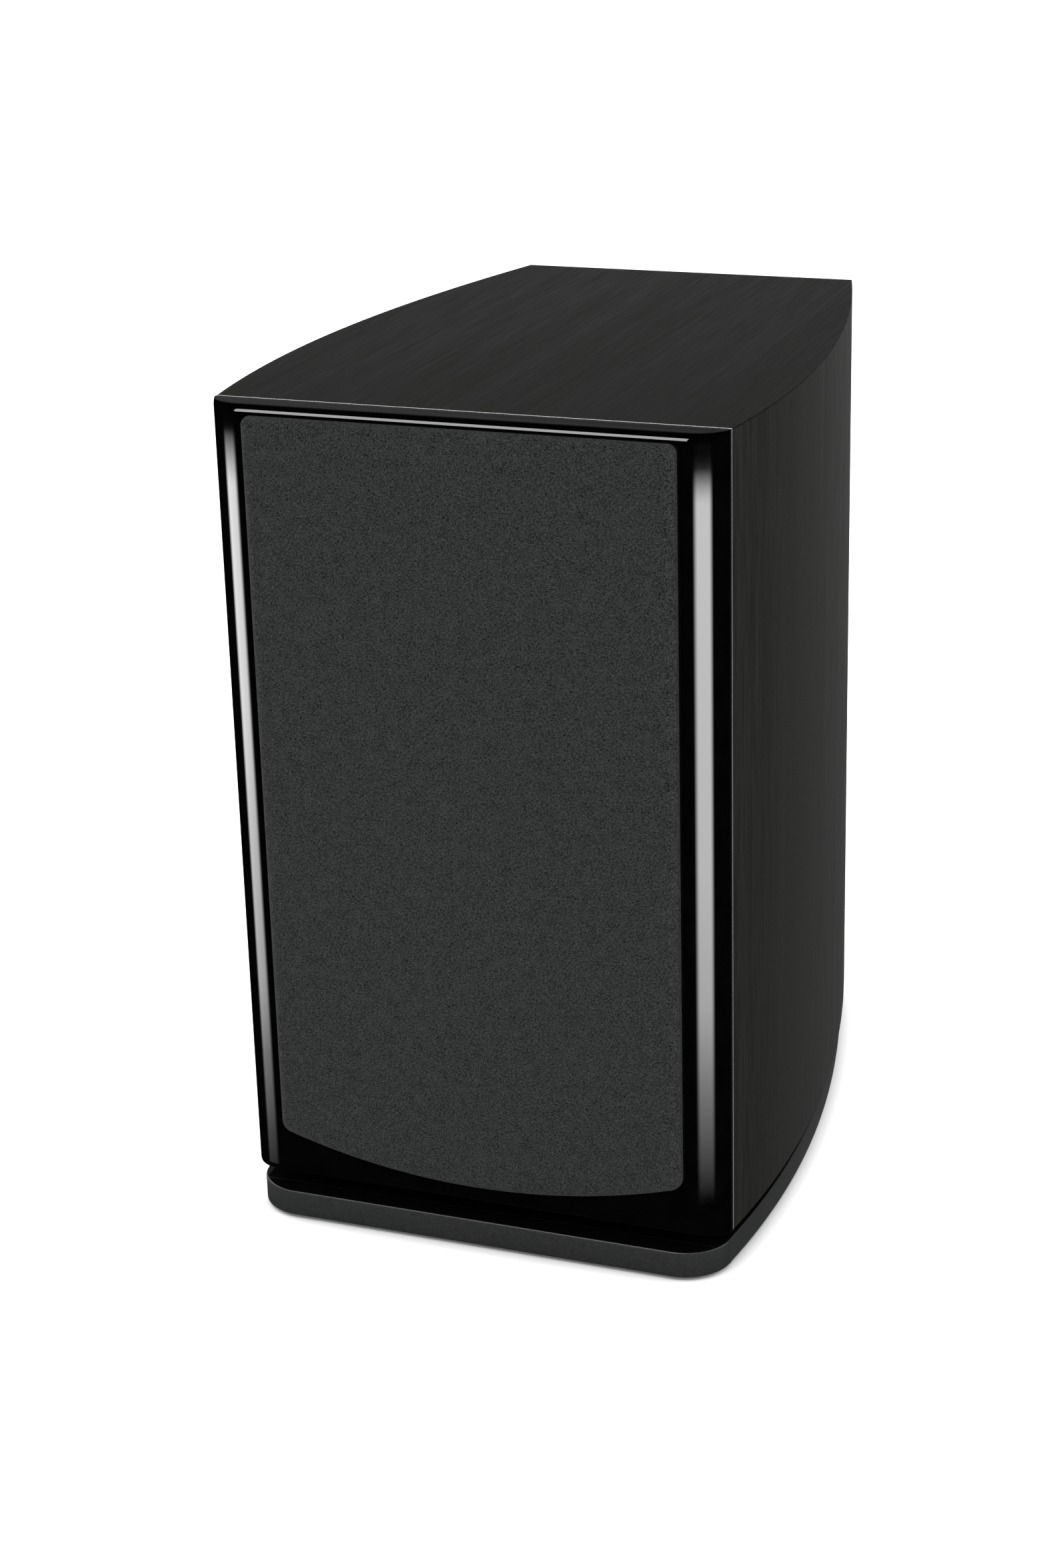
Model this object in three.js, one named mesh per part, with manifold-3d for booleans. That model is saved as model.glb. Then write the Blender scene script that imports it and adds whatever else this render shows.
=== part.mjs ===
// A two-way stand-mount loudspeaker: a curved, veneered cabinet with a lacquered baffle and a
// pull-off cloth grille, standing on spacers above a plinth that its port fires down onto.
// Millimetres, +Z up, the front faces -Y. While the pieces are placed, y = 0 is the plane where
// the baffle meets the cabinet and z = 0 is the cabinet's underside. The whole group is shifted at
// the end, so that the origin is at the centre of the object's underside.
import * as THREE from "three";
import { mergeVertices } from "three/addons/utils/BufferGeometryUtils.js";
import Module from "manifold-3d";

const wasm = await Module();
wasm.setup();

// ---- Driving dimensions ----

// Cabinet. Its half width runs along a smooth curve: front, widest place, back.
const HEIGHT = 332;
const DEPTH = 275;
const FRONT_HALF = 105;
const BULGE_HALF = 109.5;
const BULGE_Y = 69;
const BACK_HALF = 77;
const SIDE_WALL = 15;
const END_WALL = 18;
const BACK_WALL = 15;
const VENEER = 0.7;
const GLUE_GAP = 0.3;
const PANEL_INSET = VENEER + GLUE_GAP;
const INNER_INSET = PANEL_INSET + SIDE_WALL;
const SIDE_STEPS = 20;

// Baffle and the thin gasket behind it.
const BAFFLE = 12;
const BAFFLE_SIDE_ROUND = 14;
const BAFFLE_END_ROUND = 3.2;
const GASKET = 0.6;
const GASKET_RIM = 12;

// Grille.
const GRILLE_HALF = 88;
const GRILLE_TOP = 328.2;
const GRILLE_FOOT = 8.7;
const GRILLE_FOOT_RISE = 14;
const GRILLE_TOP_ROUND = 3.5;
const GRILLE_FOOT_ROUND = 6;
const GRILLE_STAND_OFF = 0.4;
const GRILLE_FRAME = 4.6;
const GRILLE_STEP = 1.8;
const GRILLE_BAR = 13;
const CROSSBAR_LOW = 189;
const CROSSBAR_HIGH = 201;
const CLOTH = 0.8;
const CLOTH_WRAP = 0.9;
const PEG_X = 80.5;
const PEG_LOW_Z = 45;
const PEG_HIGH_Z = 312;
const PEG_RADIUS = 3.5;
const PEG_LENGTH = 9;

// Drive units: distances behind the baffle's front face, and radii about the unit's axis.
const WOOFER_Z = 103;
const WOOFER_RADIUS = 83;
const WOOFER_FLANGE = 5;
const WOOFER_HOLE = 71;
const CONE_EDGE = 57;
const CONE_NECK = 16;
const CONE_TOP = 3;
const CONE_DEPTH = 25;
const ROLL_RADIUS = 4.6;
const ROLL_HEIGHT = 2.4;
const ROLL_BASE = 1.7;
const MAGNET_SEAT = 42;
const COIL_RADIUS = 13;
const MAGNET_RADIUS = 48;
const TWEETER_Z = 255;
const TWEETER_RADIUS = 52;
const TWEETER_PLATE = 4;
const TWEETER_HOLE = 40;
const DOME_RADIUS = 12.6;
const RUNNING = 0.3;

// Reflex port, firing down through the bottom panel.
const PORT_Y = 150;
const PORT_BORE = 24;
const PORT_WALL = 2.5;
const PORT_LENGTH = 130;
const PORT_FLANGE = 38;
const PORT_FLANGE_THICK = 3;
const PORT_FLARE = 10;

// Plinth, spacers and feet.
const SLOT = 5.5;
const PLINTH = 11.3;
const PLINTH_INSET = 1.8;
const PLINTH_FRONT = 16.5;
const PLINTH_ROUND = 20;
const FOOT = 1.5;
const FOOT_RADIUS = 9;
const SUPPORT_FRONT = { x: 78, y: 22 };
const SUPPORT_BACK = { x: 56, y: 245 };

// Rear terminals and crossover.
const TERMINAL_Z = 100;
const TERMINAL_HALF_WIDTH = 40;
const TERMINAL_HALF_HEIGHT = 30;
const TERMINAL_PLATE = 3;
const TERMINAL_NECK = 16.7;
const POST_SPACING = 19;
const POST_RADIUS = 2.6;
const POST_REACH = 26;
const COLLAR = 3;
const WASHER = 1.2;
const KNOB_RADIUS = 7.8;
const KNOB_LENGTH = 17;
const KNOB_RIBS = 14;
const BOARD = 1.6;
const BOARD_STAND_OFF = 10;
const BOARD_HALF = 48;
const BOARD_HALF_HEIGHT = 38;

// Window brace between the two drive units, and the wadding above it.
const BRACE_LOW = 190;
const BRACE = 12;
const BRACE_WINDOW = { half: 58, front: 28, back: 222, round: 24 };
const WADDING = { left: -62, right: 18, front: 70, back: 240, round: 20, low: 205, high: 306 };
const LEAD_RADIUS = 1.2;

// Sides of a round piece: in view, and inside.
const FINE = 32;
const COARSE = 20;
const SMALL = 16;

// ---- Finishes ----

const finish = (color, roughness, metalness = 0) =>
  new THREE.MeshStandardMaterial({ color, roughness, metalness });
const veneerBlack = () => finish(0x26241f, 0.45);
const fibreboard = () => finish(0x8a6b48, 0.9);
const lacquer = () => finish(0x050505, 0.06);
const clothBlack = () => finish(0x2d2d2d, 0.95);
const plasticBlack = () => finish(0x151515, 0.5);
const rubberBlack = () => finish(0x1b1b1b, 0.8);
const castMetal = () => finish(0x3a3a3c, 0.5, 0.8);
const steel = () => finish(0x9a9a9c, 0.35, 1);
const ferrite = () => finish(0x2c2b2b, 0.7, 0.2);
const copper = () => finish(0xb06a35, 0.35, 0.9);
const brass = () => finish(0xc9a24a, 0.3, 1);

// ---- Shape tools ----

// A closed geometry as a solid for cutting and joining.
function solidOf(geometry) {
  const bare = geometry.clone();
  bare.deleteAttribute("normal");
  bare.deleteAttribute("uv");
  const merged = mergeVertices(bare, 1e-3);
  return new wasm.Manifold(
    new wasm.Mesh({
      numProp: 3,
      vertProperties: new Float32Array(merged.attributes.position.array),
      triVerts: new Uint32Array(merged.index.array),
    }),
  );
}

function geometryOf(solid) {
  const mesh = solid.getMesh();
  const geometry = new THREE.BufferGeometry();
  geometry.setAttribute("position", new THREE.BufferAttribute(mesh.vertProperties, 3));
  geometry.setIndex(new THREE.BufferAttribute(mesh.triVerts, 1));
  return geometry.toNonIndexed();
}

function cut(geometry, tools) {
  let solid = solidOf(geometry);
  for (const tool of tools) {
    solid = solid.subtract(solidOf(tool));
  }
  return geometryOf(solid);
}

const join = (a, b) => geometryOf(solidOf(a).add(solidOf(b)));
const overlap = (a, b) => geometryOf(solidOf(a).intersect(solidOf(b)));

const extrude = (shape, depth, curveSegments = 12) =>
  new THREE.ExtrudeGeometry(shape, { depth, bevelEnabled: false, curveSegments });

// A plan outline (x, y), raised from z = low to z = high.
const raised = (shape, low, high, curveSegments) =>
  extrude(shape, high - low, curveSegments).translate(0, 0, low);

// A front outline (x, z), running back from y = front to y = back.
const runBack = (shape, front, back, curveSegments) =>
  extrude(shape, back - front, curveSegments).rotateX(Math.PI / 2).translate(0, back, 0);

// A side outline (y, z), running across from x = -half to x = half.
const runAcross = (shape, half, curveSegments) =>
  extrude(shape, 2 * half, curveSegments)
    .translate(0, 0, -half)
    .applyMatrix4(
      new THREE.Matrix4().makeBasis(
        new THREE.Vector3(0, 1, 0),
        new THREE.Vector3(0, 0, 1),
        new THREE.Vector3(1, 0, 0),
      ),
    );

// A solid of revolution about the Y axis. Points are [radius, y] round the closed section.
function turned(points, segments = COARSE) {
  const area = points.reduce((sum, [r, y], i) => {
    const [nextR, nextY] = points[(i + 1) % points.length];
    return sum + r * nextY - nextR * y;
  }, 0);
  const ordered = area > 0 ? points : [...points].reverse();
  const radiusAfter = (i) => ordered[(i + 1) % ordered.length][0];
  const onAxis = ordered.findIndex(([r], i) => r === 0 && radiusAfter(i) === 0);
  const start = onAxis < 0 ? 0 : onAxis + 1;
  const loop = ordered.map((_, i) => ordered[(start + i) % ordered.length]);
  if (onAxis < 0) loop.push(loop[0]);
  return new THREE.LatheGeometry(loop.map(([r, y]) => new THREE.Vector2(r, y)), segments);
}

// The same about the Z axis: points are [radius, z].
const turnedUpright = (points, segments) => turned(points, segments).rotateX(Math.PI / 2);

// The section of a ring or, with an inner radius of 0, of a disc.
const ring = (inner, outer, low, high) => [
  [inner, low],
  [outer, low],
  [outer, high],
  [inner, high],
];

// A curve y(r) thickened into a closed section: front points out, back points home.
function thickened(curve, thickness) {
  const back = curve.map(([r, y]) => [r, y + thickness]).reverse();
  return [...curve, ...back];
}

function outline(points) {
  return new THREE.Shape(points.map(([a, b]) => new THREE.Vector2(a, b)));
}

function roundedRectangle(left, low, right, high, radius) {
  const shape = new THREE.Shape();
  shape.absarc(right - radius, low + radius, radius, -Math.PI / 2, 0);
  shape.absarc(right - radius, high - radius, radius, 0, Math.PI / 2);
  shape.absarc(left + radius, high - radius, radius, Math.PI / 2, Math.PI);
  shape.absarc(left + radius, low + radius, radius, Math.PI, 1.5 * Math.PI);
  return shape;
}

function box(left, right, front, back, low, high) {
  return new THREE.BoxGeometry(right - left, back - front, high - low).translate(
    (left + right) / 2,
    (front + back) / 2,
    (low + high) / 2,
  );
}

// ---- Assembly ----

const speaker = new THREE.Group();

function part(name, geometry, material, parent = speaker) {
  const mesh = new THREE.Mesh(geometry, material);
  mesh.name = name;
  parent.add(mesh);
  return mesh;
}

function unit(x, y, z) {
  const group = new THREE.Group();
  group.position.set(x, y, z);
  speaker.add(group);
  return group;
}

// ---- Cabinet ----

// Half width at depth y: a parabola about the widest place, bent to meet the back's half width.
function halfWidth(y) {
  const rise = BULGE_HALF - FRONT_HALF;
  const backU = DEPTH / BULGE_Y;
  const bend = ((BULGE_HALF - BACK_HALF) / (rise * (1 - backU) ** 2) - 1) / backU;
  const u = y / BULGE_Y;
  return BULGE_HALF - rise * (1 - u) ** 2 * (1 + bend * u);
}

// Points down one side of the cabinet, at a distance inside its skin.
function sideLine(inset, front, back, steps = SIDE_STEPS) {
  const line = [];
  for (let i = 0; i <= steps; i++) {
    const y = front + ((back - front) * i) / steps;
    line.push([halfWidth(y) - inset, y]);
  }
  return line;
}

const mirrored = (line) => line.map(([x, y]) => [-x, y]).reverse();

// The cabinet's plan at a distance inside its skin, from one depth to another.
function planOutline(inset, front, back) {
  const right = sideLine(inset, front, back);
  return outline([...right, ...mirrored(right)]);
}

// A curved wall between two insets. side is 1 on the right and -1 on the left.
function curvedWall(side, outer, inner, front, back, low, high) {
  const skin = sideLine(outer, front, back);
  const inside = sideLine(inner, front, back).reverse();
  const plan = [...skin, ...inside].map(([x, y]) => [side * x, y]);
  return raised(outline(plan), low, high);
}

function addCabinet() {
  const panelBack = DEPTH - PANEL_INSET;
  const panelTop = HEIGHT - PANEL_INSET;
  const veneerTop = HEIGHT - VENEER;
  const fitInset = INNER_INSET + RUNNING;
  const innerBack = panelBack - BACK_WALL;
  for (const [name, side] of [["left", -1], ["right", 1]]) {
    const panel = curvedWall(side, PANEL_INSET, INNER_INSET, GASKET, panelBack, 0, panelTop);
    part(`side_panel_${name}`, panel, fibreboard());
    const skin = curvedWall(side, 0, VENEER, GASKET, DEPTH, 0, veneerTop);
    part(`veneer_${name}`, skin, veneerBlack());
  }
  const endPlan = planOutline(fitInset, GASKET, panelBack);
  part("top_panel", raised(endPlan, panelTop - END_WALL, panelTop), fibreboard());
  const portHole = ring(0, PORT_BORE + PORT_WALL + RUNNING, -1, END_WALL + 1);
  const flangeRebate = ring(0, PORT_FLANGE + RUNNING, -1, PORT_FLANGE_THICK + RUNNING);
  const portCuts = [portHole, flangeRebate].map((section) =>
    turnedUpright(section).translate(0, PORT_Y, 0),
  );
  part("bottom_panel", cut(raised(endPlan, 0, END_WALL), portCuts), fibreboard());
  const backPlan = planOutline(fitInset, innerBack, panelBack);
  const neckHole = turned(ring(0, TERMINAL_NECK + RUNNING, innerBack - 1, DEPTH + 1))
    .translate(0, 0, TERMINAL_Z);
  const backLow = END_WALL + RUNNING;
  const backHigh = panelTop - END_WALL - RUNNING;
  part("back_panel", cut(raised(backPlan, backLow, backHigh), [neckHole]), fibreboard());
  part("veneer_top", raised(planOutline(0, GASKET, DEPTH), veneerTop, HEIGHT), veneerBlack());
  const backHalf = BACK_HALF - PANEL_INSET;
  const backSkin = box(-backHalf, backHalf, DEPTH - VENEER, DEPTH, 0, veneerTop);
  part("veneer_back", cut(backSkin, [neckHole]), veneerBlack());

  const bracePlan = planOutline(fitInset, GASKET + RUNNING, innerBack - RUNNING);
  const braceHigh = BRACE_LOW + BRACE;
  const { half, front, back, round } = BRACE_WINDOW;
  const windowPlan = roundedRectangle(-half, front, half, back, round);
  const window = raised(windowPlan, BRACE_LOW - 1, braceHigh + 1, 3);
  part("window_brace", cut(raised(bracePlan, BRACE_LOW, braceHigh), [window]), fibreboard());

  const pad = roundedRectangle(
    WADDING.left,
    WADDING.front,
    WADDING.right,
    WADDING.back,
    WADDING.round,
  );
  part("damping_wadding", raised(pad, WADDING.low, WADDING.high, 4), finish(0xd8d4cc, 1));
}

// ---- Baffle ----

// Bores for the grille's pegs.
function socketHoles() {
  const bore = ring(0, PEG_RADIUS + RUNNING, -BAFFLE - 1, -BAFFLE + PEG_LENGTH + 1);
  return pegPlaces().map(([, x, z]) => turned(bore, SMALL).translate(x, 0, z));
}

function addBaffle() {
  const plan = new THREE.Shape();
  const flat = FRONT_HALF - BAFFLE_SIDE_ROUND;
  plan.absellipse(-flat, 0, BAFFLE_SIDE_ROUND, BAFFLE, Math.PI, 1.5 * Math.PI);
  plan.absellipse(flat, 0, BAFFLE_SIDE_ROUND, BAFFLE, 1.5 * Math.PI, 2 * Math.PI);
  const profile = new THREE.Shape();
  const round = BAFFLE_END_ROUND;
  profile.absarc(-BAFFLE + round, HEIGHT - round, round, Math.PI / 2, Math.PI);
  profile.absarc(-BAFFLE + round, round, round, Math.PI, 1.5 * Math.PI);
  profile.lineTo(0, 0);
  profile.lineTo(0, HEIGHT);
  const slab = overlap(raised(plan, 0, HEIGHT, 6), runAcross(profile, FRONT_HALF + 5, 3));
  const front = -BAFFLE - 1;
  const bores = [
    turned(ring(0, WOOFER_HOLE, front, 1), FINE).translate(0, 0, WOOFER_Z),
    turned(ring(0, WOOFER_RADIUS + RUNNING, front, -BAFFLE + WOOFER_FLANGE + RUNNING), FINE)
      .translate(0, 0, WOOFER_Z),
    turned(ring(0, TWEETER_HOLE, front, 1), COARSE).translate(0, 0, TWEETER_Z),
    turned(ring(0, TWEETER_RADIUS + RUNNING, front, -BAFFLE + TWEETER_PLATE + RUNNING), FINE)
      .translate(0, 0, TWEETER_Z),
  ];
  part("baffle", cut(slab, [...bores, ...socketHoles()]), lacquer());

  const rim = outline([
    [-FRONT_HALF, 0],
    [FRONT_HALF, 0],
    [FRONT_HALF, HEIGHT],
    [-FRONT_HALF, HEIGHT],
  ]);
  rim.holes.push(
    outline([
      [-FRONT_HALF + GASKET_RIM, GASKET_RIM],
      [-FRONT_HALF + GASKET_RIM, HEIGHT - GASKET_RIM],
      [FRONT_HALF - GASKET_RIM, HEIGHT - GASKET_RIM],
      [FRONT_HALF - GASKET_RIM, GASKET_RIM],
    ]),
  );
  part("baffle_gasket", runBack(rim, 0, GASKET), finish(0x77787a, 0.6));
}

// ---- Grille ----

function pegPlaces() {
  return [
    ["upper_left", -PEG_X, PEG_HIGH_Z],
    ["upper_right", PEG_X, PEG_HIGH_Z],
    ["lower_left", -PEG_X, PEG_LOW_Z],
    ["lower_right", PEG_X, PEG_LOW_Z],
  ];
}

// The grille's front outline: square shoulders and a foot that sags in one shallow arc.
function grilleOutline(inset) {
  const half = GRILLE_HALF - inset;
  const top = GRILLE_TOP - inset;
  const foot = GRILLE_FOOT + inset;
  const arc = (GRILLE_HALF ** 2 + GRILLE_FOOT_RISE ** 2) / (2 * GRILLE_FOOT_RISE);
  const footRound = GRILLE_FOOT_ROUND;
  const spread = Math.asin((half - footRound) / (arc - footRound));
  const cornerX = half - footRound;
  const cornerZ = foot + arc - (arc - footRound) * Math.cos(spread);
  const topRound = GRILLE_TOP_ROUND;
  const shape = new THREE.Shape();
  shape.absarc(0, foot + arc, arc, -Math.PI / 2 - spread, -Math.PI / 2 + spread);
  shape.absarc(cornerX, cornerZ, footRound, -Math.PI / 2 + spread, 0);
  shape.absarc(half - topRound, top - topRound, topRound, 0, Math.PI / 2);
  shape.absarc(-half + topRound, top - topRound, topRound, Math.PI / 2, Math.PI);
  shape.absarc(-cornerX, cornerZ, footRound, Math.PI, 1.5 * Math.PI - spread);
  return shape;
}

// The frame's outer front edge is stepped back, so that the cloth rolls over it.
function addGrille() {
  const backY = -BAFFLE - GRILLE_STAND_OFF;
  const frontY = backY - GRILLE_FRAME;
  const stepY = frontY + GRILLE_STEP;
  const windowHalf = GRILLE_HALF - CLOTH_WRAP - GRILLE_BAR;
  const windowFoot = GRILLE_FOOT + GRILLE_FOOT_RISE + GRILLE_BAR / 2;
  const windowTop = GRILLE_TOP - CLOTH_WRAP - GRILLE_BAR;
  const windows = [
    [windowFoot, CROSSBAR_LOW],
    [CROSSBAR_HIGH, windowTop],
  ].map(([low, high]) =>
    runBack(roundedRectangle(-windowHalf, low, windowHalf, high, 10), frontY - 1, backY + 1, 3),
  );
  const raised = runBack(grilleOutline(CLOTH_WRAP + GRILLE_STEP), frontY, stepY, 6);
  const blank = join(runBack(grilleOutline(CLOTH_WRAP), stepY, backY, 6), raised);
  part("grille_frame", cut(blank, windows), plasticBlack());
  part("grille_cloth", runBack(grilleOutline(0), frontY - CLOTH, frontY, 8), clothBlack());
  for (const [name, x, z] of pegPlaces()) {
    const peg = turned(
      [
        [0, backY],
        [PEG_RADIUS, backY],
        [PEG_RADIUS, backY + PEG_LENGTH - 1],
        [PEG_RADIUS - 1, backY + PEG_LENGTH],
        [0, backY + PEG_LENGTH],
      ],
      SMALL,
    );
    part(`grille_peg_${name}`, peg.translate(x, 0, z), plasticBlack());
  }
}

// ---- Woofer ----

// A half roll from one radius to another, rising towards the front by its height.
function rollCurve(inner, outer, base, height, steps) {
  const middle = (inner + outer) / 2;
  const reach = (outer - inner) / 2;
  const curve = [];
  for (let i = 0; i <= steps; i++) {
    const angle = Math.PI - (Math.PI * i) / steps;
    curve.push([middle + reach * Math.cos(angle), base - height * Math.sin(angle)]);
  }
  return curve;
}

// The basket's own section: flange, sloping legs, a landing for the spider and the magnet's seat.
function basketSection() {
  const rim = 76;
  const throat = 63;
  const shelf = 2.6;
  const landing = 36;
  const legOuter = 48;
  const legInner = 44;
  return [
    [WOOFER_RADIUS, 0],
    [WOOFER_RADIUS, WOOFER_FLANGE],
    [WOOFER_HOLE - 1, WOOFER_FLANGE],
    [WOOFER_HOLE - 3.5, 9],
    [legOuter, landing + 1],
    [legOuter, MAGNET_SEAT],
    [28, MAGNET_SEAT],
    [28, MAGNET_SEAT - 3],
    [38, MAGNET_SEAT - 3],
    [38, landing],
    [legInner, landing],
    [legInner, landing - 3],
    [throat, 6],
    [throat, shelf],
    [rim, shelf],
    [rim, 0],
  ];
}

// The roll surround, glued to the cone's edge and under the trim ring.
function surroundSection() {
  const inner = CONE_EDGE + RUNNING;
  const outer = inner + 2 * ROLL_RADIUS;
  const flap = 7;
  const roll = rollCurve(inner, outer, ROLL_BASE, ROLL_HEIGHT, 4);
  return thickened([...roll, [outer + flap, ROLL_BASE]], 0.7);
}

// The cone's gently flared section, from its neck on the voice coil out to its edge.
function coneSection() {
  const cone = [];
  const steps = 3;
  for (let i = 0; i <= steps; i++) {
    const s = i / steps;
    const r = CONE_EDGE + (CONE_NECK - CONE_EDGE) * s;
    cone.push([r, CONE_TOP + CONE_DEPTH * (s + 0.25 * s * (1 - s))]);
  }
  cone.push([COIL_RADIUS + RUNNING, CONE_TOP + CONE_DEPTH + 1]);
  return thickened(cone.reverse(), 1);
}

// A shallow cap, highest in its middle and curving back by its depth at its edge.
function capSection(radius, front, depth, thickness) {
  const cap = [];
  const steps = 4;
  for (let i = 0; i <= steps; i++) {
    const r = (radius * i) / steps;
    cap.push([r, front + depth * (r / radius) ** 2]);
  }
  return thickened(cap, thickness);
}

// Two corrugations between the voice coil and the basket's landing.
function spiderSection() {
  const spider = [];
  const steps = 8;
  const middle = 34.2;
  const inner = COIL_RADIUS + RUNNING;
  const outer = 43.6;
  for (let i = 0; i <= steps; i++) {
    const s = i / steps;
    spider.push([inner + (outer - inner) * s, middle + Math.sin(4 * Math.PI * s)]);
  }
  return thickened(spider, 0.6);
}

function addWoofer() {
  const woofer = unit(0, -BAFFLE, WOOFER_Z);
  const add = (name, geometry, material) => part(`woofer_${name}`, geometry, material, woofer);
  const windows = [];
  for (let i = 0; i < 6; i++) {
    windows.push(box(-16, 16, 11, 29, 40, 90).rotateY(((i + 0.5) * Math.PI) / 3));
  }
  add("basket", cut(turned(basketSection(), FINE), windows), castMetal());
  add("surround", turned(surroundSection(), FINE), rubberBlack());
  add("trim_ring", turned(ring(67.6, 75.6, -0.3, 1.5), FINE), plasticBlack());
  add("cone", turned(coneSection(), FINE), finish(0x1a1a1c, 0.55));
  add("dust_cap", turned(capSection(19, 19.4, 5, 0.8), COARSE), finish(0x1c1c1e, 0.4));
  add("voice_coil", turned(ring(12.2, COIL_RADIUS, 29.5, 52)), copper());
  add("spider", turned(spiderSection()), finish(0xb58b3c, 0.9));

  const plateFront = MAGNET_SEAT + GLUE_GAP;
  const plateBack = plateFront + 6;
  const magnetFront = plateBack + GLUE_GAP;
  const magnetBack = magnetFront + 15;
  const yokeFront = magnetBack + GLUE_GAP;
  const yokeBack = yokeFront + 6;
  const yokeRadius = 45;
  const poleRadius = 11.4;
  add("top_plate", turned(ring(13.8, 46, plateFront, plateBack)), steel());
  add("magnet", turned(ring(22, MAGNET_RADIUS, magnetFront, magnetBack)), ferrite());
  const yoke = [
    [0, MAGNET_SEAT],
    [poleRadius, MAGNET_SEAT],
    [poleRadius, yokeFront],
    [yokeRadius, yokeFront],
    [yokeRadius, yokeBack - 1.3],
    [yokeRadius - 3, yokeBack],
    [0, yokeBack],
  ];
  add("yoke", turned(yoke), steel());
}

// ---- Tweeter ----

// A round plate, hollowed towards its mouth in a short horn.
function faceplateSection() {
  const mouth = 17.6;
  const flare = 17;
  const depth = 3;
  const horn = [];
  const steps = 4;
  for (let i = 0; i <= steps; i++) {
    const s = i / steps;
    horn.push([mouth + flare * s, depth * (1 - s) ** 2]);
  }
  return [
    ...horn,
    [TWEETER_RADIUS, 0],
    [TWEETER_RADIUS, TWEETER_PLATE],
    [mouth, TWEETER_PLATE],
  ];
}

function addTweeter() {
  const tweeter = unit(0, -BAFFLE, TWEETER_Z);
  const add = (name, geometry, material) => part(`tweeter_${name}`, geometry, material, tweeter);
  add("faceplate", turned(faceplateSection(), FINE), finish(0x1d1d1f, 0.35, 0.6));
  add("dome", turned(capSection(DOME_RADIUS, -0.2, 3.4, 0.5)), finish(0x2a2a2c, 0.6));
  const seat = 3.2;
  const roll = rollCurve(DOME_RADIUS + 0.2, 16.2, seat, 1.6, 4);
  add("surround", turned(thickened([...roll, [17.3, seat]], 0.5)), rubberBlack());
  add("voice_coil", turned(ring(12.1, DOME_RADIUS, 4, 9.4)), copper());

  const plateFront = TWEETER_PLATE + GLUE_GAP;
  const magnetFront = plateFront + 3 + GLUE_GAP;
  const magnetBack = magnetFront + 12;
  const yokeFront = magnetBack + GLUE_GAP;
  const yokeBack = yokeFront + 4.1;
  const poleFront = 4.8;
  const poleRadius = 11.5;
  const yokeRadius = 36;
  add("top_plate", turned(ring(13.2, yokeRadius, plateFront, plateFront + 3)), steel());
  add("magnet", turned(ring(17, 38, magnetFront, magnetBack)), ferrite());
  const yoke = [
    [0, poleFront],
    [poleRadius, poleFront],
    [poleRadius, yokeFront],
    [yokeRadius, yokeFront],
    [yokeRadius, yokeBack],
    [0, yokeBack],
  ];
  add("yoke", turned(yoke), steel());
}

// ---- Port ----

function addPort() {
  const outer = PORT_BORE + PORT_WALL;
  const flare = [];
  const steps = 4;
  for (let i = 0; i <= steps; i++) {
    const angle = (Math.PI / 2) * (i / steps);
    const r = PORT_BORE + PORT_FLARE * (1 - Math.sin(angle));
    flare.push([r, 1.4 * PORT_FLARE * (1 - Math.cos(angle))]);
  }
  const section = [
    ...flare,
    [PORT_BORE, PORT_LENGTH],
    [outer, PORT_LENGTH],
    [outer, PORT_FLANGE_THICK],
    [PORT_FLANGE, PORT_FLANGE_THICK],
    [PORT_FLANGE, 0],
  ];
  part("port_tube", turnedUpright(section).translate(0, PORT_Y, 0), plasticBlack());
}

// ---- Plinth, spacers and feet ----

function addPlinth() {
  const top = -SLOT;
  const low = top - PLINTH;
  const cornerY = PLINTH_ROUND - PLINTH_FRONT;
  const cornerX = halfWidth(cornerY) - PLINTH_INSET - PLINTH_ROUND;
  const side = sideLine(PLINTH_INSET, cornerY, DEPTH);
  const plan = new THREE.Shape();
  plan.absarc(-cornerX, cornerY, PLINTH_ROUND, Math.PI, 1.5 * Math.PI);
  plan.absarc(cornerX, cornerY, PLINTH_ROUND, 1.5 * Math.PI, 2 * Math.PI);
  for (const [x, y] of side.slice(1)) plan.lineTo(x, y);
  for (const [x, y] of mirrored(side).slice(0, -1)) plan.lineTo(x, y);
  part("plinth", raised(plan, low, top, 6), finish(0x0c0c0c, 0.15));

  const supports = [
    ["front_left", -SUPPORT_FRONT.x, SUPPORT_FRONT.y],
    ["front_right", SUPPORT_FRONT.x, SUPPORT_FRONT.y],
    ["back_left", -SUPPORT_BACK.x, SUPPORT_BACK.y],
    ["back_right", SUPPORT_BACK.x, SUPPORT_BACK.y],
  ];
  for (const [name, x, y] of supports) {
    const spacer = turnedUpright(ring(0, FOOT_RADIUS, top, 0)).translate(x, y, 0);
    part(`plinth_spacer_${name}`, spacer, finish(0x101010, 0.4));
    const foot = turnedUpright(ring(0, FOOT_RADIUS, low - FOOT, low)).translate(x, y, 0);
    part(`foot_${name}`, foot, rubberBlack());
  }
}

// ---- Rear terminals ----

const postPlaces = () => [
  ["red", POST_SPACING / 2, 0xa01818],
  ["black", -POST_SPACING / 2, 0x101010],
];

// The knob's ribbed outline with a hole down its middle.
function knobOutline() {
  const points = [];
  const steps = KNOB_RIBS * 4;
  for (let i = 0; i < steps; i++) {
    const angle = (2 * Math.PI * i) / steps;
    const r = KNOB_RADIUS - 0.35 + 0.35 * Math.cos(KNOB_RIBS * angle);
    points.push([r * Math.cos(angle), r * Math.sin(angle)]);
  }
  const shape = outline(points);
  const hole = new THREE.Path();
  hole.absarc(0, 0, POST_RADIUS + RUNNING, 0, 2 * Math.PI);
  shape.holes.push(hole);
  return shape;
}

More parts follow.
